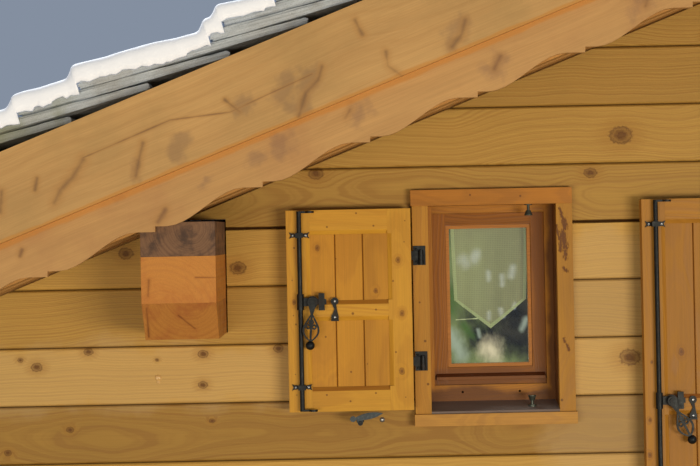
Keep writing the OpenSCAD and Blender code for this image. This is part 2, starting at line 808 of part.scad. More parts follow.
// A strap runs across the shutter's back into an eye that turns on the hinge pin
module hinge_straps(i) {
    color(IRON) for (end = [0, 1]) translate([hinge_x[i], 0, strap_z(i, end)]) difference() {
        union() {
            plate(leaf_back, leaf_back + strap_t) polygon([
                [0, -strap_h / 2], [-hinge_side, -strap_h / 2], [-strap_l + strap_point, -strap_h / 3],
                [-strap_l, 0], [-strap_l + strap_point, strap_h / 3], [-hinge_side, strap_h / 2], [0, strap_h / 2]
            ]);
            translate([0, pivot_y, -eye_h / 2]) cylinder(r = eye_r, h = eye_h);
        }
        translate([0, pivot_y, -strap_h]) cylinder(r = pin_r + turn, h = 2 * strap_h);
        for (s = [-1, 1]) translate([-eye_r - over, leaf_back - over, s > 0 ? eye_h / 2 : -strap_h])
            cube([2 * eye_r + 2 * over, strap_t + 2 * over, strap_h - eye_h / 2]);
    }
}

// Guides that hold the rod: a plate with two fishtail ends and round screw seats, and a bridge over the rod
guide_w = 69;
guide_h = 22;
guide_t = 4;
guide_tail = 13;
guide_notch = 5;
guide_seat_r = 7.5;
bridge_w = 26;
bridge_h = 17;
bridge_t = 4;
module rod_guide(x, z) {
    half = guide_w / 2;
    neck = guide_h / 4;
    difference() {
        union() {
            translate([x, 0, z]) plate(leaf_front - guide_t, leaf_front) union() {
                polygon([
                    [-half, guide_h / 2], [-half + guide_notch, 0], [-half, -guide_h / 2], [-half + guide_tail, -neck],
                    [half - guide_tail, -neck], [half, -guide_h / 2], [half - guide_notch, 0], [half, guide_h / 2],
                    [half - guide_tail, neck], [-half + guide_tail, neck]
                ]);
                for (s = [-1, 1]) translate([s * (half - guide_tail), 0]) circle(r = guide_seat_r);
            }
            block(x - bridge_w / 2, x + bridge_w / 2, rod_y - rod_r - bridge_t, leaf_front,
                z - bridge_h / 2, z + bridge_h / 2);
        }
        translate([x, rod_y, z - guide_h]) cylinder(r = rod_r + turn, h = 2 * guide_h);
    }
}

// The rest for the handle: two round pads with a slanting neck, and a raised lip at the foot
rest_side = 116;
rest_t = 6;
rest_pad_r = 13;
rest_h = 54;
rest_lip_w = 26;
rest_lip_h = 7;
rest_foot = rest_h + rest_pad_r;
module handle_rest() {
    plate(leaf_front - rest_t, leaf_front) union() {
        circle(r = rest_pad_r);
        translate([0, -rest_h]) circle(r = rest_pad_r);
        polygon([[-rest_pad_r, 0], [-1, -rest_h / 2], [-rest_pad_r, -rest_h], [rest_pad_r, -rest_h],
            [7, -rest_h / 2], [4, 0]]);
        translate([-rest_lip_w / 2, -rest_foot]) square([rest_lip_w, rest_lip_h]);
    }
    block(-rest_lip_w / 2, rest_lip_w / 2, leaf_front - 2 * rest_t, leaf_front - rest_t,
        -rest_foot, -rest_foot + rest_lip_h);
}

module rod_guides(i) {
    color(IRON) {
        for (z = [leaf_foot(i) + guide_inset, leaf_top[i] - guide_inset]) rod_guide(rod_x(i), z);
        translate([rod_x(i) + rest_side, 0, lock_z(i)]) handle_rest();
    }
}

// Locking rod with a hook at each end, and the arm that carries the handle's bolt and ends in an upright block
hook_r = 12;
hook_bar = 6;
hook_t = 7;
hook_drop = 6;
rod_end = 4;
rod_sleeve_h = 54;
arm_side = 41;
arm_over = 47;
arm_h = 28;
arm_lobe_r = 20;
arm_tip_h = 18;
lock_block_w = 20;
lock_block_h = 58;
lock_block_t = 14;
lock_block_side = 72;
bolt_r = 5;
bolt_collar_r = 11;
bolt_head_r = 9;
bolt_head_t = 4;
function hook_z(i, end) = end == 0 ? leaf_foot(i) + rod_end : leaf_top[i] - rod_end + 1 - hook_t;

module hook() {
    inner_r = hook_r - hook_bar / 2;
    translate([hook_reach, -hook_drop, 0]) difference() {
        cylinder(r = hook_r + hook_bar / 2, h = hook_t);
        translate([0, 0, -over]) cylinder(r = inner_r, h = hook_t + 2 * over);
        block(-2 * hook_r, 2 * hook_r, 0, 2 * hook_r, -over, hook_t + over);
    }
    block(0, hook_reach - inner_r - 1, -hook_drop - hook_bar + 2, -hook_drop + hook_bar / 2, 0, hook_t);
    block(hook_reach - hook_r - hook_bar / 2, hook_reach - inner_r, -hook_drop - hook_bar + 2, -hook_drop, 0, hook_t);
}

module locking_rod(i) {
    color(IRON) {
        translate([rod_x(i), rod_y, leaf_foot(i) + rod_end]) cylinder(r = rod_r, h = leaf_h[i] - 2 * rod_end + 1);
        for (end = [0, 1]) translate([rod_x(i), rod_y, hook_z(i, end)]) hook();
        translate([rod_x(i), rod_y, lock_z(i) - rod_sleeve_h / 2]) cylinder(r = rod_r + 4, h = rod_sleeve_h);
        translate([rod_x(i), 0, lock_z(i)]) {
            plate(arm_y0, arm_y0 + iron_t) union() {
                translate([0, -arm_h / 2]) square([arm_side, arm_h]);
                translate([arm_side, 0]) circle(r = arm_lobe_r);
                translate([arm_side, -arm_tip_h / 2]) square([arm_over, arm_tip_h]);
            }
            block(lock_block_side - lock_block_w / 2, lock_block_side + lock_block_w / 2,
                rod_y - lock_block_t / 2 + 1, rod_y + lock_block_t / 2 + 1, -lock_block_h / 2, lock_block_h / 2);
            translate([arm_side, arm_y0 + over, 0]) rotate([90, 0, 0])
                cylinder(r = bolt_collar_r, h = arm_y0 + over - handle_y1 - turn);
            translate([arm_side, arm_y0 + over, 0]) rotate([90, 0, 0])
                cylinder(r = bolt_r, h = arm_y0 + over - handle_y0 + over);
            translate([arm_side, handle_y0 - turn, 0]) rotate([90, 0, 0]) cylinder(r = bolt_head_r, h = bolt_head_t);
        }
    }
}

// Hanging handle: a tapering head, two wires that part into a drop with a bow of
// three rings between them, and a ball at the foot
wire_w = 7;
drop_top = 26;
drop_half = 29;
drop_steps = 20;
head_r = 16;
neck_w = 10;
neck_l = 14;
bow_r = 9;
bow_hole_r = 4;
bow_at = [[-10, -0.571 * handle_l], [10, -0.571 * handle_l], [0, -0.463 * handle_l]];
bow_sides = 32;
function drop_line(length, half, count) = [
    for (k = [0 : count]) let(s = k / count) [half * sin(180 * pow(s, 1.5)), -length * s],
    for (k = [count - 1 : -1 : 1]) let(s = k / count) [-half * sin(180 * pow(s, 1.5)), -length * s]
];

module handle(i) {
    drop_l = handle_l - drop_top - handle_ball_r + wire_w - 1;
    color(IRON) translate([rod_x(i) + arm_side, 0, lock_z(i)]) rotate([0, -handle_lean[i], 0]) {
        difference() {
            plate(handle_y0, handle_y1) union() {
                circle(r = head_r);
                polygon([[-head_r, 0], [head_r, 0], [neck_w / 2, -drop_top - neck_l],
                    [-neck_w / 2, -drop_top - neck_l]]);
                translate([0, -drop_top]) difference() {
                    polygon(drop_line(drop_l, drop_half, drop_steps));
                    translate([0, -wire_w * 1.6])
                        polygon(drop_line(drop_l - wire_w * 2.4, drop_half - wire_w, drop_steps));
                }
                translate([-wire_w / 2, -handle_l]) square([wire_w, handle_l - drop_top]);
            }
            translate([0, handle_y1 + over, 0]) rotate([90, 0, 0]) cylinder(r = bolt_r + turn, h = iron_t + 2 * over);
        }
        for (at = bow_at) plate(handle_y0, handle_y1) translate(at) difference() {
            circle(r = bow_r, $fn = bow_sides);
            circle(r = bow_hole_r, $fn = bow_sides);
        }
        translate([0, (handle_y0 + handle_y1) / 2, -handle_l]) sphere(r = handle_ball_r);
    }
}

module small_shutter_stiles() { shutter_stiles(small); }
module small_shutter_rails() { shutter_rails(small); }
module small_shutter_boards() { shutter_boards(small); }
module small_hinge_straps() { hinge_straps(small); }
module small_rod_guides() { rod_guides(small); }
module small_locking_rod() { locking_rod(small); }
module small_handle() { handle(small); }
module tall_shutter_stiles() { shutter_stiles(tall); }
module tall_shutter_rails() { shutter_rails(tall); }
module tall_shutter_boards() { shutter_boards(tall); }
module tall_hinge_straps() { hinge_straps(tall); }
module tall_rod_guides() { rod_guides(tall); }
module tall_locking_rod() { locking_rod(tall); }
module tall_handle() { handle(tall); }

odd_log_courses();
even_log_courses();
purlins();
upper_corbels();
lower_corbels();
rafters();
ceiling_boards();
counter_rafters();
roof_boards();
barge_board();
scalloped_board();
verge_slabs();
inner_slabs();
casing_jambs();
casing_heads();
sill_boards();
apron_boards();
reveal_linings();
window_frames();
sashes();
glazing_beads();
glass_panes();
weather_bars();
curtain();
curtain_rod();
rod_catches();
hinge_pins();
stay_pins();
small_shutter_stiles();
small_shutter_rails();
small_shutter_boards();
small_hinge_straps();
small_rod_guides();
small_locking_rod();
small_handle();
small_stay();
tall_shutter_stiles();
tall_shutter_rails();
tall_shutter_boards();
tall_hinge_straps();
tall_rod_guides();
tall_locking_rod();
tall_handle();
tall_stay();
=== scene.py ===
"""Gable wall bay of a log chalet: finishes, slabs, snow, curtain, fixings, light and camera."""

import math

import bpy
import numpy as np
from mathutils import Euler, Matrix, Vector


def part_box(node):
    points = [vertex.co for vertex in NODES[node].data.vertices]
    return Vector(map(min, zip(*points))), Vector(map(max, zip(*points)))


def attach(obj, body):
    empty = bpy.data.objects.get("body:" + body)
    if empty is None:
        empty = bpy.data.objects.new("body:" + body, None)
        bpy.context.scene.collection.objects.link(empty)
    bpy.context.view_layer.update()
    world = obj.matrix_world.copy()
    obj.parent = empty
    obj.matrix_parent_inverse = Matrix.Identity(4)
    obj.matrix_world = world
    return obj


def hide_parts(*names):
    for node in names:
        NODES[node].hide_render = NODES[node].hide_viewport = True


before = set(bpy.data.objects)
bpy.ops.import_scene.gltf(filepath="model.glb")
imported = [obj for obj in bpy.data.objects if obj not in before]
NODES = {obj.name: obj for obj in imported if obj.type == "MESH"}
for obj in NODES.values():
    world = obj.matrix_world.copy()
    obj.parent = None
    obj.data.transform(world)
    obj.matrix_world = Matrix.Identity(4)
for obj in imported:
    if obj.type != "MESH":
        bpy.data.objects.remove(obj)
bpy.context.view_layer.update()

# Driving sizes of the bay, in metres, as it is built
MM = 0.001
COURSE = 0.200
PITCH = math.radians(21.5)
VERGE_Z = 2.707
WALL_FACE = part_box("odd_log_courses")[0].y
SLAB_T = 0.0365
SLAB_TILT = math.radians(7.7)
SLAB_L = 0.800
SEAT = 0.0003
BED = 0.008
ROOF_END = 1.825

# Camera: square to the wall at the height of the small window, with a slight roll
CAMERA_AT = (-0.550, WALL_FACE - 6.0, 1.7769)
CAMERA_ROLL = math.radians(1.186)
LENS_MM = 89.5
SENSOR_MM = 36.0


def add_camera():
    """The camera looks along +Y; its right and up edges are turned by the roll about that line."""
    data = bpy.data.cameras.new("camera")
    data.lens = LENS_MM
    data.sensor_width = SENSOR_MM
    camera = bpy.data.objects.new("camera", data)
    c, s = math.cos(CAMERA_ROLL), math.sin(CAMERA_ROLL)
    turn = Matrix(((c, s, 0, 0), (0, 0, -1, 0), (-s, c, 0, 0), (0, 0, 0, 1)))
    camera.matrix_world = Matrix.Translation(CAMERA_AT) @ turn
    bpy.context.scene.collection.objects.link(camera)
    bpy.context.scene.camera = camera


add_camera()


# Colours and nodes

def paint(hex_colour):
    """An sRGB hex colour as linear RGBA."""
    values = [int(hex_colour[k:k + 2], 16) / 255 for k in (1, 3, 5)]
    return [v / 12.92 if v <= 0.04045 else ((v + 0.055) / 1.055) ** 2.4 for v in values] + [1.0]


def add(tree, kind, *inputs, out=0, **named):
    """Adds one node. Plain arguments fill its inputs in order and capitalised names fill inputs by name;
    other names are its settings. A colour may be a hex string. Gives back the output asked for."""
    made = tree.nodes.new("ShaderNode" + kind)
    for name in [n for n in named if not n[0].isupper()]:
        setattr(made, name, named.pop(name))
    for key, value in [*enumerate(inputs), *named.items()]:
        if isinstance(value, bpy.types.NodeSocket):
            tree.links.new(value, made.inputs[key])
        elif value is not None:
            made.inputs[key].default_value = paint(value) if isinstance(value, str) else value
    return made.outputs if out is None else made.outputs[out]


def new_material(name):
    """A material with an empty node tree, and the tree."""
    material = bpy.data.materials.new(name)
    material.use_nodes = True
    material.node_tree.nodes.clear()
    return material, material.node_tree


# Wood: rings round a wandering pith, knots that push the rings aside, fine fibres

ARRIS = 0.0015
SHEEN = 0.2
SMOOTH = dict(interpolation_type="SMOOTHSTEP")
ALONG = (0.0, 0.0, 0.0)
UPRIGHT = (0.0, math.pi / 2, 0.0)
SLOPING = (0.0, PITCH, 0.0)
THROUGH = (0.0, 0.0, -math.pi / 2)


def turned(x, z, turn):
    """Where a point of the wall's face, given in millimetres, lies once the grain runs along X."""
    return tuple(Euler(turn).to_matrix() @ Vector((x * MM, 0.0, z * MM)))


def knot_field(tree, flat, knots, turn, squeeze=1.0):
    """Distance to the nearest knot of a list, in that knot's radii: the smallest of |p - centre| / radius,
    with lengths along the grain squeezed, which draws the knots out that way."""
    nearest = None
    flat = add(tree, "VectorMath", flat, (squeeze, 1.0, 1.0), operation="MULTIPLY")
    for x, z, radius in knots:
        centre = turned(x, z, turn)
        centre = (centre[0] * squeeze, *centre[1:])
        apart = add(tree, "VectorMath", flat, centre, operation="DISTANCE", out=1)
        radii = add(tree, "Math", apart, radius * MM, operation="DIVIDE")
        nearest = radii if nearest is None else add(tree, "Math", nearest, radii, operation="MINIMUM")
    return nearest


def pin_knots(tree, flat, cell, radius, share):
    """The same for small knots strewn one to a Voronoi cell, of which a share is large enough to show."""
    strewn = add(tree, "TexVoronoi", Vector=flat, Scale=1.0 / cell, out=None)
    lot = add(tree, "SeparateColor", strewn["Color"])
    size = add(tree, "MapRange", lot, 1.0 - share, 1.0, 0.02 * radius, radius)
    metres = add(tree, "Math", strewn["Distance"], cell, operation="MULTIPLY")
    return add(tree, "Math", metres, size, operation="DIVIDE")


def streak_field(tree, flat, streaks, turn):
    """Distance to the nearest bent streak, in its half widths. A stretch from a to b gives
    |p - a - t (b - a)| with t = (p - a).(b - a) / |b - a|^2 kept between 0 and 1."""
    nearest = None
    stretches = [(half, a, b) for half, *line in streaks for a, b in zip(line, line[1:])]
    for half, a, b in stretches:
        start = Vector(turned(*a, turn))
        way = Vector(turned(*b, turn)) - start
        off = add(tree, "VectorMath", flat, tuple(start), operation="SUBTRACT")
        dot = add(tree, "VectorMath", off, tuple(way), operation="DOT_PRODUCT", out=1)
        share = add(tree, "MapRange", dot, 0.0, way.length_squared, 0.0, 1.0)
        foot = add(tree, "VectorMath", tuple(way), Scale=share, operation="SCALE")
        apart = add(tree, "VectorMath", off, foot, operation="DISTANCE", out=1)
        widths = add(tree, "Math", apart, half * MM, operation="DIVIDE")
        nearest = widths if nearest is None else add(tree, "Math", nearest, widths, operation="MINIMUM")
    return nearest


def grain_point(tree, place, turn, stiles):
    """The point with X along the grain. The grain runs upright between the sides of each of the stiles."""
    point = add(tree, "Mapping", place, Rotation=turn)
    if not stiles:
        return point
    along_wall = add(tree, "SeparateXYZ", place)
    upright = None
    for left, right in stiles:
        middle, half = (left + right) / 2 * MM, (right - left) / 2 * MM
        here = add(tree, "Math", along_wall, middle, half, operation="COMPARE")
        upright = here if upright is None else add(tree, "Math", upright, here, operation="MAXIMUM")
    return add(tree, "MixRGB", upright, point, add(tree, "Mapping", place, Rotation=UPRIGHT))


def boards_at(tree, z, start, board):
    """For boards of one width laid side by side from start: the number of the board at a point, the share
    of its width below the point, and three lots between 0 and 1 drawn from its number."""
    cells = add(tree, "Math", add(tree, "Math", z, start, operation="SUBTRACT"), board, operation="DIVIDE")
    row = add(tree, "Math", cells, operation="FLOOR")
    within = add(tree, "Math", cells, row, operation="SUBTRACT")
    drawn = add(tree, "TexWhiteNoise", W=add(tree, "Math", row, 7.3), noise_dimensions="1D", out="Color")
    return row, within, add(tree, "SeparateColor", drawn, out=None)


def pith_distance(tree, x, y, boards, board, pith, aside):
    """Distance to the pith of the point's board. The pith lies behind the face by 0.6 to 1.4 times pith, off
    the board's middle by up to aside widths, and both wander slowly along the board."""
    row, within, lots = boards
    seed = add(tree, "Math", row, 3.7, operation="MULTIPLY")
    slow = add(tree, "CombineXYZ", add(tree, "Math", x, 1.3, operation="MULTIPLY"), 0.0, seed)
    sway = add(tree, "SeparateColor", add(tree, "TexNoise", Vector=slow, Scale=1.0, out="Color"), out=None)
    side = add(tree, "MapRange", lots[0], 0.0, 1.0, -aside * board, aside * board)
    side = add(tree, "Math", side, add(tree, "MapRange", sway[0], 0.3, 0.7, -0.03, 0.03))
    deep = add(tree, "MapRange", lots[1], 0.0, 1.0, 0.6 * pith * MM, 1.4 * pith * MM)
    deep = add(tree, "Math", deep, add(tree, "MapRange", sway[1], 0.3, 0.7, -0.02, 0.02))
    off_middle = add(tree, "Math", within, 0.5, operation="SUBTRACT")
    across = add(tree, "Math", add(tree, "Math", off_middle, board, operation="MULTIPLY"), side)
    section = add(tree, "CombineXYZ", 0.0, add(tree, "Math", y, deep, operation="SUBTRACT"), across)
    return add(tree, "VectorMath", section, operation="LENGTH", out=1)


def nearest_knot(tree, point, flat, turn, knots, pins):
    """Distance to the nearest knot or pin knot in its radii, made ragged; None where a wood has neither."""
    near = knot_field(tree, flat, knots, turn, 0.76) if knots else None
    if pins:
        strewn = pin_knots(tree, flat, *pins)
        near = add(tree, "Math", near, strewn, operation="MINIMUM") if knots else strewn
    if near is None:
        return None
    ragged = add(tree, "TexNoise", Vector=point, Scale=120.0, Detail=2.0)
    return add(tree, "Math", near, add(tree, "MapRange", ragged, 0.0, 1.0, -0.35, 0.35))


def growth_rings(tree, point, row, radius, ring):
    """Early wood as 0 and late wood as 1, from the radius plus slow noise, in ring widths. Rings are 2 to
    3 mm wide in larch, and are drawn two to six times as wide, so that they show at this scale."""
    drift = add(tree, "TexNoise", Vector=add(tree, "Mapping", point, Scale=(6.0, 34.0, 34.0)), Scale=1.0)
    radius = add(tree, "Math", radius, add(tree, "MapRange", drift, 0.2, 0.8, 0.0, 0.6 * ring * MM))
    turns = add(tree, "Math", radius, ring * MM, operation="DIVIDE")
    turns = add(tree, "Math", turns, add(tree, "Math", row, 17.0, operation="MULTIPLY"))
    rings = add(tree, "TexNoise", W=turns, Scale=1.0, Roughness=0.55, noise_dimensions="1D")
    return add(tree, "MapRange", rings, 0.36, 0.68, 0.0, 1.0, **SMOOTH)


def board_levels(tree, row, levels):
    """Brightness of the boards that have one of their own, by number. All others have 1."""
    level = 1.0
    for number, share in levels:
        here = add(tree, "Math", row, number, 0.5, operation="COMPARE")
        level = add(tree, "Math", add(tree, "Math", here, share - 1.0, operation="MULTIPLY"), level)
    return level


def clear_wood(tree, point, rings, boards, early, late, contrast, tones, levels):
    """Colour and height of wood without marks: its rings, long fibres a few millimetres wide, a tone for
    each board that clouds along it, and more late wood in boards that are darker by number."""
    row, _, lots = boards
    fibre = add(tree, "Mapping", point, Scale=(3.5, 300.0, 300.0))
    fibre = add(tree, "TexNoise", Vector=fibre, Scale=1.0, Detail=3.0, Roughness=0.6)
    cloud = add(tree, "Mapping", point, Scale=(2.2, 7.0, 9.0))
    cloud = add(tree, "TexNoise", Vector=cloud, Scale=1.0, Detail=3.0)
    level = board_levels(tree, row, levels)
    amber = add(tree, "Math", rings, contrast, operation="MULTIPLY")
    if levels:
        deeper = add(tree, "MapRange", level, 0.6, 1.0, 0.45, 0.0)
        amber = add(tree, "Math", amber, deeper, use_clamp=True)
    tone = add(tree, "Math", lots[2], add(tree, "MapRange", cloud, 0.3, 0.7, -0.5, 0.5))
    tone = add(tree, "MapRange", tone, -0.3, 1.3, 1.0 - tones, 1.0 + 0.6 * tones)
    tone = add(tree, "Math", tone, add(tree, "MapRange", fibre, 0.3, 0.7, 0.93, 1.07), operation="MULTIPLY")
    tone = add(tree, "Math", tone, level, operation="MULTIPLY")
    colour = add(tree, "VectorMath", add(tree, "MixRGB", amber, early, late), Scale=tone, operation="SCALE")
    height = add(tree, "Math", add(tree, "Math", rings, 0.6, operation="MULTIPLY"),
                 add(tree, "Math", fibre, 0.4, operation="MULTIPLY"))
    return colour, height


def lay_stain(tree, colour, point, tint, share, size):
    """A tint in soft clouds of the given size in metres, up to a share."""
    spread = add(tree, "TexNoise", Vector=point, Scale=1.0 / size, Detail=4.0, Roughness=0.6)
    spread = add(tree, "MapRange", spread, 0.42, 0.72, 0.0, share, **SMOOTH)
    return add(tree, "MixRGB", spread, colour, tint)


def lay_tints(tree, colour, place, tints):
    """Tints along lines on the wall's face, each given as lines, tint, share and how soft its edge is."""
    face = add(tree, "VectorMath", place, (1.0, 0.0, 1.0), operation="MULTIPLY")
    for lines, tint, share, edge in tints:
        soft = streak_field(tree, face, lines, ALONG)
        blot = add(tree, "TexNoise", Vector=place, Scale=22.0 if edge > 1.0 else 7.0, Detail=4.0)
        soft = add(tree, "Math", soft, add(tree, "MapRange", blot, 0.3, 0.7, -0.4 * edge, 0.4 * edge))
        soft = add(tree, "MapRange", soft, 0.9 - 0.4 * edge, 0.9 + 0.4 * edge, share, 0.0, **SMOOTH)
        colour = add(tree, "MixRGB", soft, colour, tint)
    return colour


def draw_knots(tree, colour, height, near, late, dark):
    """A halo of late wood, a dark heart with rings of its own, and a dark rim inside which the face dips."""
    halo = add(tree, "MapRange", near, 1.0, 3.4, 0.34, 0.0, **SMOOTH)
    colour = add(tree, "MixRGB", halo, colour, late)
    core = add(tree, "Math", near, 3.2, operation="MULTIPLY")
    core = add(tree, "TexNoise", W=core, Scale=1.0, noise_dimensions="1D")
    heart = add(tree, "MixRGB", add(tree, "MapRange", core, 0.35, 0.65, 0.0, 0.3), dark, late)
    inside = add(tree, "MapRange", near, 0.3, 1.2, 0.88, 0.0, **SMOOTH)
    colour = add(tree, "MixRGB", inside, colour, heart)
    rim = add(tree, "Math", add(tree, "Math", near, 1.05, operation="SUBTRACT"), operation="ABSOLUTE")
    colour = add(tree, "MixRGB", add(tree, "MapRange", rim, 0.0, 0.25, 0.62, 0.0), colour, dark)
    return colour, add(tree, "Math", height, add(tree, "MapRange", near, 0.9, 1.2, -0.5, 0.0))


def draw_streaks(tree, colour, point, line, late, dark):
    """Long knots and checks along lines that bend a little: a dark line in a smudge of late wood."""
    bend = add(tree, "TexNoise", Vector=point, Scale=14.0, Detail=4.0)
    line = add(tree, "Math", line, add(tree, "MapRange", bend, 0.2, 0.8, -1.2, 1.2))
    smudge = add(tree, "MapRange", line, 0.0, 4.5, 0.5, 0.0, **SMOOTH)
    colour = add(tree, "MixRGB", smudge, colour, late)
    return add(tree, "MixRGB", add(tree, "MapRange", line, -1.0, 1.9, 0.62, 0.0, **SMOOTH), colour, dark)


def tear(tree, colour, height, point, line, tint):
    """Wane along lines: rough patches of a tint that lie deeper than the face."""
    rough = add(tree, "TexNoise", Vector=add(tree, "Mapping", point, Scale=(70.0, 160.0, 200.0)), Scale=1.0,
                Detail=5.0, Roughness=0.7)
    spot = add(tree, "Math", line, add(tree, "MapRange", rough, 0.25, 0.75, -1.4, 1.4))
    spot = add(tree, "MapRange", spot, 0.4, 1.3, 0.85, 0.0, **SMOOTH)
    colour = add(tree, "MixRGB", spot, colour, tint)
    return colour, add(tree, "Math", height, add(tree, "Math", spot, -2.0, operation="MULTIPLY"))


def blacken_joints(tree, colour, within, tint, reach):
    """Painted shade along both edges of each board, where the joints lie, over a reach given as a share of
    its width.
    """
    edge = add(tree, "Math", 1.0, within, operation="SUBTRACT")
    edge = add(tree, "Math", within, edge, operation="MINIMUM")
    return add(tree, "MixRGB", add(tree, "MapRange", edge, 0.0, reach, 0.85, 0.0, **SMOOTH), colour, tint)


def wood(name, early, late, dark, turn, board=COURSE, start=0.0, ring=9.0, contrast=0.5, pith=90.0,
         aside=0.45, tones=0.2, gloss=0.5, levels=(), stiles=(), hearts=(), knots=(), pins=None, specks=(),
         streaks=(), torn=None, stain=None, tints=(), up_face_shade=None, joint_shade=None):
    """A wood with a satin finish. The grain runs along the turned X, and each board, a cell of the turned Z,
    has its own pith behind the face. The ring at a point is its distance to the pith plus slow noise, in
    ring widths. Within the given stiles of a frame the grain runs upright, hearts gives the pith of end
    grain, levels gives the brightness of some boards by number, and specks are pin knots too small to turn
    the grain. The last two give painted shade: a tone for faces that look up, which the light from below
    leaves darker, and a tone along the joints between boards."""
    material, tree = new_material(name)
    place = add(tree, "TexCoord", out="Object")
    point = grain_point(tree, place, turn, stiles)
    face = (0.0, 1.0, 1.0) if turn == THROUGH else (1.0, 0.0, 1.0)
    flat = add(tree, "VectorMath", point, face, operation="MULTIPLY")
    x, y, z = add(tree, "SeparateXYZ", point, out=None)
    boards = boards_at(tree, z, start, board)
    if hearts:
        radius = knot_field(tree, flat, [(hx, hz, 1 / MM) for hx, hz in hearts], turn)
    else:
        radius = pith_distance(tree, x, y, boards, board, pith, aside)
    near = nearest_knot(tree, point, flat, turn, knots, pins)
    if near is not None:
        push = add(tree, "MapRange", near, 0.6, 3.6, 1.6 * ring * MM, 0.0, **SMOOTH)
        radius = add(tree, "Math", radius, push)
    rings = growth_rings(tree, point, boards[0], radius, ring)
    colour, height = clear_wood(tree, point, rings, boards, early, late, contrast, tones, levels)

    if stain:
        colour = lay_stain(tree, colour, point, *stain)
    if tints:
        colour = lay_tints(tree, colour, place, tints)
    if near is not None:
        colour, height = draw_knots(tree, colour, height, near, late, dark)
    if streaks:
        colour = draw_streaks(tree, colour, point, streak_field(tree, flat, streaks, turn), late, dark)
    if specks:
        dots = add(tree, "MapRange", knot_field(tree, flat, specks, turn), 0.7, 1.5, 0.7, 0.0, **SMOOTH)
        colour = add(tree, "MixRGB", dots, colour, dark)
    if torn:
        lines, tint = torn
        colour, height = tear(tree, colour, height, point, streak_field(tree, flat, lines, turn), tint)
    # Painted shade: faces that look up are tinted darker, as the light comes from below
    if up_face_shade:
        up = add(tree, "SeparateXYZ", add(tree, "TexCoord", out="Normal"), out=2)
        colour = add(tree, "MixRGB", add(tree, "MapRange", up, 0.25, 0.7, 0.0, 0.8), colour, up_face_shade)
    # Painted shade in the grooves along each board's edges
    if joint_shade:
        tint, reach = joint_shade
        colour = blacken_joints(tree, colour, boards[1], tint, reach * MM / board)

    rough = add(tree, "MapRange", rings, 0.0, 1.0, gloss + 0.07, gloss - 0.04)
    arris = add(tree, "Bevel", ARRIS, samples=4)
    bump = add(tree, "Bump", Strength=0.35, Distance=0.9 * MM, Height=height, Normal=arris)
    shader = add(tree, "BsdfPrincipled", colour, Roughness=rough, Normal=bump,
                 **{"Specular IOR Level": SHEEN})
    add(tree, "OutputMaterial", shader, out=None)
    return material


# Knots of the wall: place along the wall, height and radius, in millimetres
WALL_KNOTS = [
    (-663, 1984, 17), (391, 2095, 26), (282, 1967, 15), (-1460, 1386, 11), (-1639, 1336, 13),
    (-1065, 1370, 12), (-1068, 1264, 11), (-939, 1664, 19), (-1324, 1722, 17), (-1529, 1118, 9),
    (-1745, 1043, 9), (-1039, 1139, 7), (406, 1329, 24), (-805, 1384, 12), (-1695, 1362, 7), (1290, 2190, 18),
    (-1224, 1353, 5), (900, 2330, 15), (1760, 1510, 19), (-640, 690, 20), (300, 560, 17), (-1400, 480, 16),
    (820, 250, 21), (-900, 270, 14), (1500, 130, 15), (-300, 880, 12), (1320, 2600, 16), (700, 2430, 12),
]
# Long dark knots that cross the barge board: half width, then points
BARGE_SPIKES = [
    (6, (-628, 2304), (-641, 2263), (-680, 2223), (-704, 2150)),
    (6, (-1199, 2075), (-1213, 2022), (-1223, 1971)),
    (8, (-1390, 2025), (-1426, 1969), (-1464, 1932), (-1484, 1891)),
    (6, (-424, 2347), (-419, 2303), (-375, 2270)),
    (7, (-172, 2443), (-183, 2399), (-215, 2359)),
    (2, (-1390, 2032), (-1112, 2146), (-922, 2167), (-660, 2282)),
    (4, (-937, 2206), (-890, 2167)), (5, (-1536, 1971), (-1543, 1934)), (6, (-1649, 1929), (-1655, 1866)),
    (6, (-520, 2450), (-499, 2406)), (7, (240, 2640), (205, 2560), (190, 2530)),
    (6, (620, 2760), (600, 2690)), (7, (1060, 2940), (1030, 2850), (1015, 2820)),
    (6, (1500, 3090), (1480, 3030)),
]
SCALLOP_SPIKES = [
    (7, (-1137, 1862), (-1160, 1825)), (5, (-1594, 1744), (-1601, 1725)), (7, (-893, 2112), (-919, 2080)),
    (6, (-1252, 1960), (-1278, 1942)), (6, (-542, 2168), (-558, 2143)), (7, (-60, 2330), (-80, 2290)),
    (6, (420, 2520), (405, 2480)), (7, (980, 2760), (960, 2700)), (6, (1440, 2900), (1420, 2860)),
]
# Broad grey smudges on both boards, where the knots have weathered into the wood round them
BARGE_SMUDGES = [
    (34, (-668, 2262), (-700, 2180)), (24, (-740, 2262), (-765, 2200)), (16, (-1216, 2010), (-1226, 1965)),
    (22, (-1080, 2085), (-1100, 2040)), (20, (-870, 2190), (-905, 2160)), (26, (-190, 2420), (-215, 2360)),
    (24, (215, 2600), (190, 2540)), (26, (1040, 2900), (1015, 2830)),
]
SCALLOP_SMUDGES = [
    (26, (-508, 2170), (-520, 2150)), (24, (-755, 2080), (-760, 2040)), (18, (-830, 2030), (-850, 2015)),
    (16, (-1005, 1955), (-1015, 1940)), (22, (-1270, 1950), (-1290, 1930)), (24, (-60, 2320), (-85, 2285)),
    (24, (400, 2500), (380, 2470)), (24, (960, 2740), (940, 2700)),
]
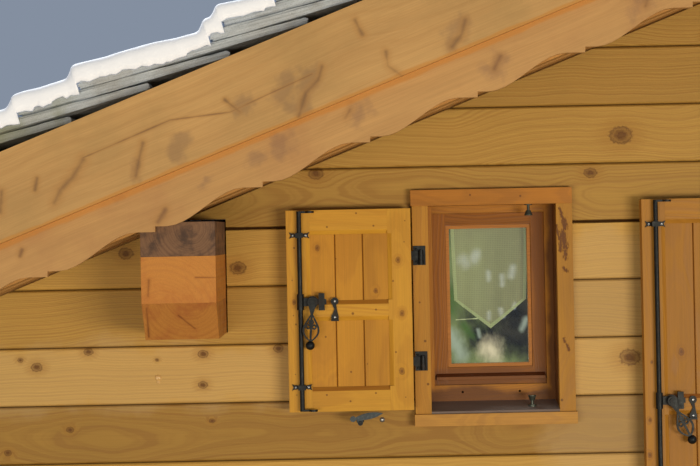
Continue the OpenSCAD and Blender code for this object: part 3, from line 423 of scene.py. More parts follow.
# Knots on the shutters' inner faces, and pegs, pin knots and worm holes
SMALL_STILE_KNOTS = [(-389, 1682, 7), (-379, 1500, 7), (-383, 1304, 8), (-745, 1545, 6)]
SMALL_STILE_SPECKS = [
    (-407, 1611, 3), (-402, 1369, 3), (-741, 1730, 3), (-367, 1743, 2), (-748, 1500, 2), (-740, 1470, 3),
    (-372, 1215, 2), (-745, 1300, 2), (-363, 1815, 2), (-742, 1230, 2), (-750, 1620, 2),
]
SMALL_RAIL_SPECKS = [
    (-628, 1799, 3), (-528, 1844, 3), (-473, 1231, 3), (-640, 1228, 3), (-546, 1503, 4), (-467, 1515, 3),
    (-470, 1800, 3), (-560, 1205, 3), (-610, 1500, 2),
]
SMALL_BOARD_KNOTS = [(-663, 1728, 7), (-466, 1578, 6)]
SMALL_BOARD_SPECKS = [(-556, 1304, 3), (-600, 1690, 2), (-640, 1425, 3), (-500, 1330, 2)]
TALL_STILE_KNOTS = [
    (457, 1120, 5), (467, 1317, 4), (454, 1001, 6), (470, 760, 6), (965, 1560, 7), (960, 900, 6),
]
TALL_RAIL_KNOTS = [(800, 1820, 6), (700, 520, 7)]
TALL_BOARD_KNOTS = [
    (570, 1349, 8), (563, 1189, 7), (605, 1083, 6), (700, 1500, 8), (820, 880, 9), (640, 640, 8),
]
CASING_SPECKS = [
    (-278, 1668, 3), (-300, 1401, 4), (-293, 1253, 4), (-316, 1534, 3), (36, 1892, 3), (-136, 1899, 3),
    (1040, 1500, 5), (1668, 1300, 5), (1660, 760, 4), (1035, 820, 4), (165, 1189, 4),
]
# Wane along the edge of the small window's right jamb. Half width, then points
WANE = [
    (5, (171, 1845), (180, 1815)), (9, (184, 1808), (188, 1780)), (11, (180, 1765), (186, 1716)),
    (6, (172, 1755), (170, 1700)), (7, (186, 1700), (188, 1676)), (6, (180, 1640), (190, 1632)),
    (4, (160, 1790), (165, 1740)), (5, (186, 1380), (192, 1360)), (4, (176, 1400), (178, 1388)),
]

# Sides of the upright pieces of each window's frame and sash, in millimetres along the wall
FRAME_STILES = [(-302, -263), (129, 178), (1044, 1083), (1611, 1660)]
SASH_STILES = [(-263, -216), (82, 129), (1083, 1130), (1564, 1611)]

# Places of the ironwork, in metres: the faces it lies on, and the screws' distances from the rods
LEAF_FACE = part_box("small_shutter_stiles")[0].y
CASING_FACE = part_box("casing_jambs")[0].y
LOCK_Z = {"small": 1.546, "tall": 1.187}
ROD_EDGE = 0.012
GUIDE_HALF = 0.011
GUIDE_SCREW = 0.0215
GUIDE_T = 0.004
REST_SIDE = 0.116
REST_DROP = 0.054
REST_T = 0.006
SCREW_R = 0.0046
# Hinges: the line of their pins along the wall and the heights of their plates, with two screws each
HINGES = ((-0.309, (1.333, 1.695)), (1.037, (0.633, 1.709)))
HINGE_SIDE = 0.017
HINGE_RISE = 0.022
HINGE_T = 0.004
HINGE_SCREW_R = 0.004

# Purlins, in millimetres: middle, half width and top, and in metres how high each stands with its corbels
PURLIN_X = (-1102.0, 1420.0)
PURLIN_HALF = 120.0
PURLIN_TOP = (1823.3, 2816.7)
PURLIN_STACK = 0.380

# The last of these colours is a painted band of shade and bounced light, orange in the joint of the verge
# boards
HONEY, AMBER, KNOT, JOINT_BOUNCE_SHADE = "#CBA151", "#A06E2A", "#4A2412", "#C8842F"
CASING = dict(dark=KNOT, ring=7.0, contrast=0.35, gloss=0.42)
# Brightness of single courses, counted from 0 at the foot of the wall
COURSE_TONES = [
    (3, 0.85), (4, 1.05), (5, 0.74), (6, 1.12), (7, 0.94), (8, 1.08), (9, 0.86), (10, 0.92), (11, 0.84),
    (12, 0.84), (13, 0.95),
]


def set_material(names, material):
    """Puts one material into every slot of the named CAD nodes."""
    for name in names:
        node = NODES[name]
        if not node.material_slots:
            node.data.materials.append(material)
        for slot in node.material_slots:
            slot.material = material


def dress_logs():
    """Oiled larch logs, with painted shade along the joints between courses. Two stretches are paler, and the
    widest joint between courses is black with painted shadow.
    """
    # Two stretches of the wall are tinted paler
    paler_stretches = [(210, (330, 1040), (330, 1560)), (120, (-1750, 1300), (-450, 1300))]
    # Painted shadow in the widest joint between courses
    widest_joint_shadow = [(6, (-1825, 1800), (1825, 1800))]
    logs = wood("oiled_larch_log", HONEY, AMBER, KNOT, ALONG, ring=4.5, contrast=0.36, aside=1.3, tones=0.08,
                levels=COURSE_TONES, knots=WALL_KNOTS, pins=(0.31, 0.006, 0.3), joint_shade=("#371C0A", 5.0),
                tints=[(paler_stretches, "#CDB489", 0.28, 0.8), (widest_joint_shadow, "#33190A", 0.85, 0.6)])
    set_material(["odd_log_courses", "even_log_courses"], logs)


def dress_roof():
    """Sawn spruce under the slabs, with painted shade along its joints, and the verge's two larch boards,
    bleached by the sun, with a painted orange band of shade and bounced light along the joint between them."""
    roof = wood("sawn_spruce", "#B98A4E", "#94662F", KNOT, SLOPING, board=0.14, ring=8.0, contrast=0.4,
                gloss=0.6, pins=(0.25, 0.012, 0.5), joint_shade=("#4A2C14", 3.0))
    set_material(["rafters", "ceiling_boards", "counter_rafters", "roof_boards"], roof)
    verge = dict(turn=SLOPING, board=0.9, tones=0.12, gloss=0.55)
    barge = wood("sun_bleached_larch", "#CCA269", "#B08048", "#66503F", **verge, start=1.9, ring=14.0,
                 contrast=0.26, pith=160.0, streaks=BARGE_SPIKES, pins=(0.4, 0.007, 0.35),
                 stain=("#A98A58", 0.45, 0.3),
                 tints=[(BARGE_SMUDGES, "#7E6450", 0.42, 2.4),
                        ([(10, (-1830, 1699), (1830, 3141))], JOINT_BOUNCE_SHADE, 0.55, 1.0)])
    set_material(["barge_board"], barge)
    scalloped = wood("sawn_larch_board", "#C89C65", "#B0824C", "#6A4A3A", **verge, start=1.8, ring=16.0,
                     contrast=0.22, pith=120.0, streaks=SCALLOP_SPIKES, pins=(0.33, 0.008, 0.4),
                     stain=("#A8754E", 0.35, 0.22),
                     tints=[(SCALLOP_SMUDGES, "#7E6052", 0.42, 2.4),
                            ([(13, (-1830, 1693), (1830, 3135))], JOINT_BOUNCE_SHADE, 0.55, 1.0)])
    set_material(["scalloped_board"], scalloped)


def dress_purlin_ends():
    """End grain of the purlins, weathered grey, and of the corbels under them, which show drying checks."""
    heads = list(zip(PURLIN_X, PURLIN_TOP))
    end_grain = dict(turn=THROUGH, board=9.0, tones=0.0)
    weathered = wood("weathered_larch_end", "#84644C", "#5C4334", "#2E221C", **end_grain, ring=7.0,
                     contrast=0.45, gloss=0.7, hearts=[(x + 40, top - 20) for x, top in heads],
                     stain=("#3D3230", 0.75, 0.05))
    set_material(["purlins"], weathered)
    checks = [(1.5, (x + 55, top - 178), (x + 118, top - 180)) for x, top in heads]
    checks += [(3, (x - 95, top - 185), (x - 98, top - 235)) for x, top in heads]
    upper = wood("oiled_larch_end", "#C98840", "#AC6A2A", "#6A3B20", **end_grain, ring=11.0, contrast=0.22,
                 hearts=[(x - 60, top - 300) for x, top in heads], stain=("#B0642C", 0.5, 0.09),
                 streaks=checks)
    set_material(["upper_corbels"], upper)
    checks = [(1.5, (x - 5, top - 300), (x + 18, top - 322), (x + 44, top - 345)) for x, top in heads]
    checks += [(2, (x - 105, top - 275), (x - 108, top - 370)) for x, top in heads]
    lower = wood("reddened_larch_end", "#B97E3C", "#95592C", "#4E2818", **end_grain, ring=10.0, contrast=0.26,
                 hearts=[(x + 30, top - 240) for x, top in heads], stain=("#9A5230", 0.6, 0.08),
                 streaks=checks)
    set_material(["lower_corbels"], lower)


def dress_casings():
    """Stained larch round the windows: jambs with wane, redder heads, paler aprons and worn grey sills."""
    jambs = wood("stained_larch_jamb", "#BA8530", "#945F1E", turn=UPRIGHT, start=0.05, specks=CASING_SPECKS,
                 torn=(WANE, "#5A2E16"), **CASING)
    set_material(["casing_jambs"], jambs)
    heads = wood("stained_larch_head", "#C07E2C", "#945F1E", turn=ALONG, specks=CASING_SPECKS, **CASING)
    set_material(["casing_heads"], heads)
    aprons = wood("stained_larch_apron", "#BC8A40", "#9A6A30", turn=ALONG, start=0.02, **CASING)
    set_material(["apron_boards"], aprons)
    sill = wood("worn_sill_board", "#7C6E68", "#62524C", "#2A1C18", ALONG, ring=6.0, contrast=0.4, gloss=0.55)
    set_material(["sill_boards"], sill)


def dress_windows():
    """Frames and linings darker at the foot and with painted shade on the right, and the dark sashes and
    beads.
    """
    # Frames: darker along the foot, with painted shade down the right lining and its edge and on faces that
    # look up
    dark_foot_shaded_right = [(36, (-300, 1192), (180, 1192)), (36, (1040, 492), (1660, 492)),
            (26, (162, 1170), (162, 1850)), (26, (1644, 470), (1644, 1850))]
    lining_edge_shade = [(16, (176, 1170), (176, 1850)), (16, (1658, 470), (1658, 1850))]
    frames = wood("stained_pine_frame", "#B67A2A", "#8A521E", "#40200F", ALONG, ring=6.0, contrast=0.35,
                  gloss=0.42, stiles=FRAME_STILES, up_face_shade="#4A3228",
                  tints=[(dark_foot_shaded_right, "#5A3420", 0.8, 1.0), (lining_edge_shade, "#3E2414", 0.8, 1.0)])
    set_material(["window_frames", "reveal_linings"], frames)
    # Sashes: darker along the foot rail, with painted shade down the right stile and on faces that look up
    low_rail = [(34, (-263, 1262), (129, 1262)), (34, (1083, 562), (1611, 562))]
    right_stile_shade = [(26, (108, 1290), (108, 1850)), (26, (1590, 590), (1590, 1850))]
    sash = wood("dark_stained_sash", "#9A5E16", "#6E3E10", "#30180C", ALONG, ring=6.0, contrast=0.4,
                gloss=0.38, stiles=SASH_STILES, up_face_shade="#4A2416",
                tints=[(low_rail, "#6A4026", 0.6, 1.0), (right_stile_shade, "#6E3E18", 0.55, 1.0)])
    set_material(["sashes", "weather_bars"], sash)
    bead = wood("orange_stained_bead", "#C07E38", "#9A5C26", "#30180C", ALONG, ring=5.0, contrast=0.3,
                gloss=0.4)
    set_material(["glazing_beads"], bead)


def dress_shutter(leaf, early, panel, late, count, stile_marks, rail_marks, board_marks):
    """A shutter of golden oiled larch: stiles and its count of boards upright, rails level. The marks are
    the knots and the specks of its stiles, rails and boards. Faces that look up carry painted shade, and so
    do the joints between the boards."""
    golden = dict(late=late, dark="#5A2E12", gloss=0.42, up_face_shade="#6E2818")
    lo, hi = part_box(leaf + "_shutter_stiles")
    stiles = wood(leaf + "_stile_larch", early, turn=UPRIGHT, board=(hi.x - lo.x) / 2, start=-hi.x, ring=8.0,
                  contrast=0.4, pith=70.0, tones=0.08, **stile_marks, **golden)
    set_material([leaf + "_shutter_stiles"], stiles)
    lo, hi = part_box(leaf + "_shutter_rails")
    rails = wood(leaf + "_rail_larch", early, turn=ALONG, board=(hi.z - lo.z) * 0.44, start=lo.z - MM,
                 ring=8.0, contrast=0.4, pith=60.0, tones=0.08, **rail_marks, **golden)
    set_material([leaf + "_shutter_rails"], rails)
    lo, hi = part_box(leaf + "_shutter_boards")
    boards = wood(leaf + "_panel_larch", panel, turn=UPRIGHT, board=(hi.x - lo.x) / count, start=-hi.x,
                  ring=9.0, contrast=0.45, tones=0.16, joint_shade=("#6E3A14", 3.5), **board_marks, **golden)
    set_material([leaf + "_shutter_boards"], boards)


def dress_shutters():
    """The small shutter is the more golden one, and the tall one the browner."""
    dress_shutter("small", "#D09A34", "#C68C2C", "#AE741E", 3,
                  dict(knots=SMALL_STILE_KNOTS, specks=SMALL_STILE_SPECKS), dict(specks=SMALL_RAIL_SPECKS),
                  dict(knots=SMALL_BOARD_KNOTS, specks=SMALL_BOARD_SPECKS))
    dress_shutter("tall", "#B27C2C", "#A87428", "#8F5C1C", 4,
                  dict(knots=TALL_STILE_KNOTS), dict(knots=TALL_RAIL_KNOTS), dict(knots=TALL_BOARD_KNOTS))


def forged_iron(name, tone="#15191B", worn="#444B4B"):
    """Blackened forged iron: hammer marks some 12 mm wide, scale, and paler metal on raised places."""
    material, tree = new_material(name)
    point = add(tree, "TexCoord", out="Object")
    hammer = add(tree, "TexVoronoi", Vector=point, Scale=80.0, Smoothness=0.6, feature="SMOOTH_F1")
    scale = add(tree, "TexNoise", Vector=point, Scale=140.0, Detail=5.0, Roughness=0.65)
    patch = add(tree, "TexNoise", Vector=point, Scale=22.0, Detail=3.0)
    wear = add(tree, "MapRange", scale, 0.52, 0.78, 0.0, 0.5)
    colour = add(tree, "MixRGB", wear, tone, worn)
    colour = add(tree, "MixRGB", add(tree, "MapRange", patch, 0.55, 0.8, 0.0, 0.5), colour, "#4A3A30")
    rough = add(tree, "MapRange", patch, 0.3, 0.7, 0.38, 0.58)
    height = add(tree, "Math", add(tree, "Math", hammer, 0.8, operation="MULTIPLY"),
                 add(tree, "Math", scale, 0.3, operation="MULTIPLY"))
    bump = add(tree, "Bump", Strength=0.4, Distance=1.6 * MM, Height=height)
    shader = add(tree, "BsdfPrincipled", colour, 0.55, rough, Normal=bump)
    add(tree, "OutputMaterial", shader, out=None)
    return material


def plain_metal(name, colour, rough):
    """A bright metal, such as a zinc-plated screw or a brass rod, with fine scratches in its roughness."""
    material, tree = new_material(name)
    point = add(tree, "TexCoord", out="Object")
    scratch = add(tree, "TexNoise", Vector=add(tree, "Mapping", point, Scale=(400.0, 60.0, 400.0)), Scale=1.0)
    rough = add(tree, "MapRange", scratch, 0.3, 0.7, rough - 0.08, rough + 0.12)
    shader = add(tree, "BsdfPrincipled", colour, 1.0, rough)
    add(tree, "OutputMaterial", shader, out=None)
    return material


def split_gneiss():
    """Split gneiss: dark and pale layers a few millimetres thick that lie in the plane of the slabs, fine
    grain, brown stains, and lichen low on the roof."""
    material, tree = new_material("split_gneiss")
    point = add(tree, "TexCoord", out="Object")
    layered = add(tree, "Mapping", point, Rotation=(0.0, PITCH - SLAB_TILT, 0.0))
    layered = add(tree, "Mapping", layered, Scale=(9.0, 9.0, 210.0))
    bands = add(tree, "TexNoise", Vector=layered, Scale=1.0, Detail=4.0, Roughness=0.6)
    grain = add(tree, "TexNoise", Vector=point, Scale=260.0, Detail=3.0, Roughness=0.6)
    patch = add(tree, "TexNoise", Vector=point, Scale=9.0, Detail=4.0)
    colour = add(tree, "MixRGB", add(tree, "MapRange", bands, 0.35, 0.65, 0.0, 1.0), "#B0B8C0", "#CED6DE")
    colour = add(tree, "MixRGB", add(tree, "MapRange", grain, 0.5, 0.7, 0.0, 0.35), colour, "#66675F")
    colour = add(tree, "MixRGB", add(tree, "MapRange", patch, 0.5, 0.7, 0.0, 0.3), colour, "#8C7F68")
    low = add(tree, "SeparateXYZ", point)
    low = add(tree, "Math", low, add(tree, "MapRange", patch, 0.3, 0.7, -0.2, 0.2))
    low = add(tree, "MapRange", low, -1.75, -1.35, 0.7, 0.0, **SMOOTH)
    colour = add(tree, "MixRGB", low, colour, "#85865E")
    height = add(tree, "Math", bands, add(tree, "Math", grain, 0.5, operation="MULTIPLY"))
    bump = add(tree, "Bump", Strength=0.4, Distance=2.0 * MM, Height=height)
    shader = add(tree, "BsdfPrincipled", colour, Roughness=0.85, Normal=bump)
    add(tree, "OutputMaterial", shader, out=None)
    return material


def old_snow():
    """Settled snow: white and coarse grained, with a faint painted glow from emission in place of the light
    that spreads inside it.
    """
    material, tree = new_material("old_snow")
    point = add(tree, "TexCoord", out="Object")
    grain = add(tree, "TexNoise", Vector=point, Scale=160.0, Detail=4.0, Roughness=0.6)
    lumps = add(tree, "TexNoise", Vector=point, Scale=28.0, Detail=2.0)
    height = add(tree, "Math", add(tree, "Math", grain, 0.35, operation="MULTIPLY"), lumps)
    bump = add(tree, "Bump", Strength=0.5, Distance=5.0 * MM, Height=height)
    # The emission is a painted glow
    shader = add(tree, "BsdfPrincipled", "#FAFBFC", Roughness=0.6, Normal=bump,
                 **{"Emission Color": "#CFE0FF", "Emission Strength": 0.2})
    add(tree, "OutputMaterial", shader, out=None)
    return material


def window_pane():
    """Clear float glass with a faint waviness, so that reflections bend a little."""
    material, tree = new_material("window_pane")
    point = add(tree, "TexCoord", out="Object")
    wave = add(tree, "TexNoise", Vector=point, Scale=5.0)
    bump = add(tree, "Bump", Strength=0.1, Distance=2.0 * MM, Height=wave)
    shader = add(tree, "BsdfPrincipled", "#E8F0EC", Roughness=0.0, IOR=1.5, Normal=bump)
    shader.node.inputs["Transmission Weight"].default_value = 1.0
    path = add(tree, "LightPath", out=None)
    through = add(tree, "Math", path["Is Shadow Ray"], path["Is Diffuse Ray"], operation="MAXIMUM")
    shader = add(tree, "MixShader", through, shader, add(tree, "BsdfTransparent", "#EEF4F0"))
    add(tree, "OutputMaterial", shader, out=None)
    return material


def sheer_voile(name, tone, hold):
    """Sheer woven voile: threads across and up, drawn coarser than real ones so that they show. hold is
    how much of what lies behind it the cloth hides, as a share."""
    material, tree = new_material(name)
    point = add(tree, "TexCoord", out="Object")
    warp = add(tree, "TexWave", Vector=point, Scale=52.0, Distortion=0.6, bands_direction="X")
    weft = add(tree, "TexWave", Vector=point, Scale=48.0, Distortion=0.6, bands_direction="Z")
    weave = add(tree, "Math", warp, weft, operation="MAXIMUM")
    bump = add(tree, "Bump", Strength=0.3, Distance=0.4 * MM, Height=weave)
    cloth = add(tree, "BsdfPrincipled", tone, Roughness=0.85, Normal=bump)
    through = add(tree, "BsdfTranslucent", tone)
    clear = add(tree, "BsdfTransparent")
    lit = add(tree, "MixShader", 0.35, cloth, through)
    seen = add(tree, "MapRange", weave, 0.2, 0.9, hold - 0.15, min(1.0, hold + 0.1))
    add(tree, "OutputMaterial", add(tree, "MixShader", seen, clear, lit), out=None)
    return material


def new_piece(name, points, faces, materials, slot=None, body="wall_section", smooth=True):
    """A mesh object from points and faces, riding on a body. The first material is the one in use."""
    mesh = bpy.data.meshes.new(name)
    mesh.from_pydata(np.asarray(points).reshape(-1, 3).tolist(), [], faces)
    for material in materials:
        mesh.materials.append(material)
    mesh.polygons.foreach_set("use_smooth", [smooth] * len(mesh.polygons))
    mesh.update()
    piece = bpy.data.objects.new(name, mesh)
    bpy.context.scene.collection.objects.link(piece)
    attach(piece, body)
    return piece


def ring_faces(rows, count, first=0):
    """Quads between rows of points, each row closing on itself, numbered row by row from first."""
    k, j = np.meshgrid(np.arange(rows - 1), np.arange(count), indexing="ij")
    here, after = k * count + j, k * count + (j + 1) % count
    quads = np.stack([here, after, after + count, here + count], axis=-1)
    return (quads.reshape(-1, 4) + first).tolist()


def cap_faces(row, pole, count, upper):
    """Triangles from the row that starts at a point number to one pole, at the upper or the lower end."""
    ring = [(row + j, row + (j + 1) % count) for j in range(count)]
    return [(a, b, pole) if upper else (b, a, pole) for a, b in ring]


def closed_shells(shells, count):
    """Points and faces of shells that lie apart. Each shell is its lower and its upper pole, followed by
    rings of count points, and triangles close its first and its last ring onto the poles."""
    faces = []
    first = 0
    for shell in shells:
        rows = (len(shell) - 2) // count
        faces += ring_faces(rows, count, first + 2)
        faces += cap_faces(first + 2, first, count, False)
        faces += cap_faces(first + 2 + (rows - 1) * count, first + 1, count, True)
        first += len(shell)
    return np.concatenate(shells), faces


def chipped(length, seed, step, depth, total):
    """Piecewise straight noise from 0 to depth along a length, with a new value about every step. It comes
    back to its first value at the total length."""
    draw = np.random.default_rng(seed)
    stops = np.cumsum(draw.uniform(0.4, 1.6, max(4, round(total / step))))
    stops = np.concatenate([[0.0], stops / stops[-1] * total])
    values = draw.uniform(0.0, depth, len(stops))
    values[-1] = values[0]
    return np.interp(length, stops, values)


# Slabs: each lies flatter than the roof, its lower end on the slabs below it

SLAB_EXTRA = [0, 10, -60, -90, -25, -200, 20, 110, -180, 15, -30, 100, -170, 0, 25, -150, 30]
SLAB_ROW = (SLAB_T + SEAT) / math.sin(SLAB_TILT)
FIRST_END = -ROOF_END / math.cos(PITCH) + 0.55 * SLAB_ROW
SLAB_ROWS = range(len(SLAB_EXTRA))
VERGE_EDGE = -0.497
SLAB_SPLIT = -0.2175
SPLIT_GAP = 0.003
SLAB_INNER = 0.130
# Layers of stone at a slab's edge, as shares of its thickness, and the rings within its faces, as shares
# of its plan. The outer layers lie back a little, and the upper end is rounded
LAYERS = [(0.0, 0.2), (0.2, 0.47), (0.47, 0.76), (0.76, 1.0)]
FACE_RINGS = (0.97, 0.88, 0.6, 0.25)
OUTER_INSET = 0.004
SLAB_CORNER = 0.016
# Step and depth of the chips along the edge and of the dents in the faces
CHIPS = (0.045, 0.007)
FINE_CHIPS = (0.012, 0.0015)
DENTS = (0.05, 0.0025)
# Share of its thickness that a slab lacks at its upper end, and how steeply that share runs out
SPLIT_OFF = 0.42
SPLIT_FADE = 1.25


def wobble(row, spread):
    """The same small uneven shift for a row of slabs as in the CAD, in metres."""
    return spread * math.sin(math.radians(row * 137.0))


def slab_length(row):
    """Slabs differ in length from row to row, as in the CAD."""
    return SLAB_L + SLAB_EXTRA[row] * MM


def verge_y(row):
    """Where the verge slab of a row ends, over the barge board."""
    return VERGE_EDGE + wobble(row, 0.009)


def split_y(row):
    """Where the joint between the verge slab and the inner slab of a row lies."""
    return SLAB_SPLIT + wobble(row, 0.090)


def cut_ends(points, way):
    """Points beyond the ends of the section slide back along the slope onto its end planes."""
    over = points[..., 0] - np.clip(points[..., 0], -ROOF_END, ROOF_END)
    return points - (over / way[0])[..., None] * np.asarray(way)


def slab_points(row, y0, y1, count, seed):
    """One slab. Its plan is a rectangle walked once by t; its edge is four layers of stone, each with a
    chipped line of its own, so a point is centre + (1 - inset(t, layer)) * (outline(t) - centre) at height v.
    It is split thinner towards its upper end, most at the verge, which leaves a dark wedge under it."""
    long, wide = slab_length(row), y1 - y0
    total = 2 * (long + wide)
    t = np.arange(count) * total / count
    corners = np.array([0.0, long, long + wide, 2 * long + wide, total])
    along = np.interp(t, corners, [-long, 0.0, 0.0, -long, -long])
    across = np.interp(t, corners, [y0, y0, y1, y1, y0])
    centre = np.array([-long / 2, (y0 + y1) / 2])
    plan = np.stack([along, across], axis=1) - centre
    half = np.array([long / 2, wide / 2])
    dent = chipped(t, seed, *DENTS, total)
    thin = SPLIT_OFF * SLAB_T * np.clip(1.0 + SPLIT_FADE * along / long, 0.0, 1.0) * (y1 - across) / wide
    rows = []
    for number, layer in enumerate(LAYERS):
        inset = chipped(t, seed + number, *CHIPS, total)
        inset += chipped(t, seed + 9 + number, *FINE_CHIPS, total)
        inset += OUTER_INSET * (number in (0, len(LAYERS) - 1))
        flat = centre + plan * (1 - inset[:, None] / half)
        for v in layer:
            near_end = np.clip((flat[:, 0] + SLAB_CORNER) / SLAB_CORNER, 0.0, 1.0)
            rounded = SLAB_CORNER * (1 - np.sqrt(1 - near_end ** 2))
            height = np.minimum(thin + v * (SLAB_T - thin), SLAB_T - rounded)
            rows.append(np.column_stack([flat, height]))
    lowest = [np.column_stack([centre + plan * s, dent * s * (1 - s) * 4 + thin * min(1.0, 1.2 * s)])
              for s in FACE_RINGS[::-1]]
    highest = [np.column_stack([centre + plan * s, SLAB_T - dent]) for s in FACE_RINGS]
    poles = np.array([[*centre, 2 * MM], [*centre, SLAB_T - MM]])
    local = np.concatenate([poles] + lowest + rows + highest)
    end = FIRST_END + row * SLAB_ROW
    place = (Matrix.Translation((0, 0, VERGE_Z)) @ Matrix.Rotation(-PITCH, 4, "Y")
             @ Matrix.Translation((end, 0, SEAT - BED)) @ Matrix.Rotation(SLAB_TILT, 4, "Y"))
    place = np.array(place)
    world = local @ place[:3, :3].T + place[:3, 3]
    return cut_ends(world, place[:3, 0])


def make_slabs(name, node, count, edges, seed, material):
    """All slabs of one strip of the roof as one piece, in place of their CAD node."""
    slabs = [slab_points(row, *edges(row), count, seed + 31 * row) for row in SLAB_ROWS]
    piece = new_piece(name, *closed_shells(slabs, count), [material], "slab_stone", smooth=False)
    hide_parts(node)


def slab_tops(s):
    """For places along the slope: the height above the roof's plane of the uppermost slab, and its front."""
    height = np.full(len(s), -1.0)
    front = np.zeros(len(s))
    for row in SLAB_ROWS:
        end = FIRST_END + row * SLAB_ROW
        reach = slab_length(row) * math.cos(SLAB_TILT)
        here = (end - s) * math.tan(SLAB_TILT) + SLAB_T / math.cos(SLAB_TILT) + SEAT - BED
        upper = (s >= end - reach) & (s <= end + 0.01) & (here > height)
        height[upper] = here[upper]
        front[upper] = verge_y(row)
    return height, front


def smeared(values, reach):
    """Running average of evenly spaced values, with a bell-shaped window of the given reach in samples."""
    window = np.hanning(2 * reach + 3)
    padded_values = np.pad(values, reach + 1, mode="edge")
    return np.convolve(padded_values, window / window.sum(), mode="valid")


# Snow: its span along the slope, its thickness and slow swell, the lip's section as (distance behind the
# slabs' front, share of the height, share of the ragged hang), of which the points less than RIPPLED
# behind it ripple, and the places across the slope of its top
SNOW_SPAN = (-2.06, 2.10)
SNOW_STEP = 0.004
SNOW_THICK = 0.040
SNOW_SWELL = 0.008
SNOW_LIP = [
    (0.030, 0.0, 0.0), (0.001, 0.0, 0.0), (-0.003, 0.0, 1.0), (-0.008, 0.0, 0.85), (-0.010, 0.15, 0.3),
    (-0.009, 0.4, 0.0), (-0.005, 0.66, 0.0), (0.002, 0.84, 0.0), (0.012, 0.94, 0.0), (0.028, 1.0, 0.0),
]
RIPPLED = 0.002
SNOW_INNER = SLAB_INNER - 0.002
SNOW_TOP = (-0.42, -0.33, -0.22, -0.10, 0.03, SNOW_INNER)
# Seed, step and depth of the unevenness of its thickness, of its drips, lobes and ripples, and its top
UNEVEN = (71, 0.09, 0.007)
DRIPS = (72, 0.014, 0.013)
LOBES = (73, 0.10, 0.018)
RIPPLES = (74, 0.03, 0.005)
TOP_SEED = 80
TOP_DIPS = (0.12, 0.008)


def make_snow():
    """Snow on the slabs. Its section at s runs along the slabs' tops to a jagged lip that hangs over their
    front, up a rounded face and back over the top, which follows the steps of the slabs, smeared out."""
    s = np.arange(*SNOW_SPAN, SNOW_STEP)
    top, front = slab_tops(s)
    run, total = s - s[0], s[-1] - s[0]
    thick = SNOW_THICK + SNOW_SWELL * np.sin(s * 4.1 + 0.6) + chipped(run, *UNEVEN, total)
    upper = np.interp(s + 0.008, s, smeared(top + thick, 7))
    front = smeared(front, 9)
    hang = 2 * MM + chipped(run, *DRIPS, total) + chipped(run, *LOBES, total)
    ripple = smeared(chipped(run, *RIPPLES, total), 3)
    ring = [np.stack([s, np.full_like(s, SNOW_INNER), top - MM], axis=1)]
    for behind, share, hung in SNOW_LIP:
        y = front + behind - (ripple if behind < RIPPLED else 0)
        ring.append(np.stack([s, y, top + share * (upper - top) - hung * hang - MM], axis=1))
    for k, y in enumerate(SNOW_TOP):
        lift = smeared(chipped(run, TOP_SEED + k, *TOP_DIPS, total), 8) - TOP_DIPS[1] / 2
        ring.append(np.stack([s, np.full_like(s, y), upper + lift], axis=1))
    local = np.stack(ring, axis=1)
    c, n = math.cos(PITCH), math.sin(PITCH)
    world = np.stack([local[..., 0] * c - local[..., 2] * n, local[..., 1],
                      VERGE_Z + local[..., 0] * n + local[..., 2] * c], axis=-1)
    # The sections follow each other down the slope, so that the faces point outwards
    world = cut_ends(world, (c, 0.0, n))[::-1]
    rows, count = world.shape[:2]
    faces = ring_faces(rows, count)
    faces += [list(range(count - 1, -1, -1)), list(range((rows - 1) * count, rows * count))]
    new_piece("snow", world, faces, [old_snow()])


# Curtain: where the middle of its top hangs, then its widths and heights, in metres
CURTAIN = {"x": -0.060, "y": 0.076, "top": 1.808, "wide": 0.274, "foot": 0.254, "side": 0.276,
           "middle": 0.378}
SLEEVE_R = 0.0037
SLEEVE_RISE = 0.0033
# Where the sleeve's loose edge ends, behind and below the top, and the step from the sleeve to the cloth
SLEEVE_END = (0.0009, 0.007)
CLOTH_STEP = 0.0008
# Folds: depth in metres, turns across the width in radians, start, and lean on the way down; and the
# share of them that shows at the top
FOLDS = [(0.0022, 14.0, 0.8, 0.0), (0.0012, 31.0, 2.0, 1.5)]
FOLDS_AT_TOP = 0.15


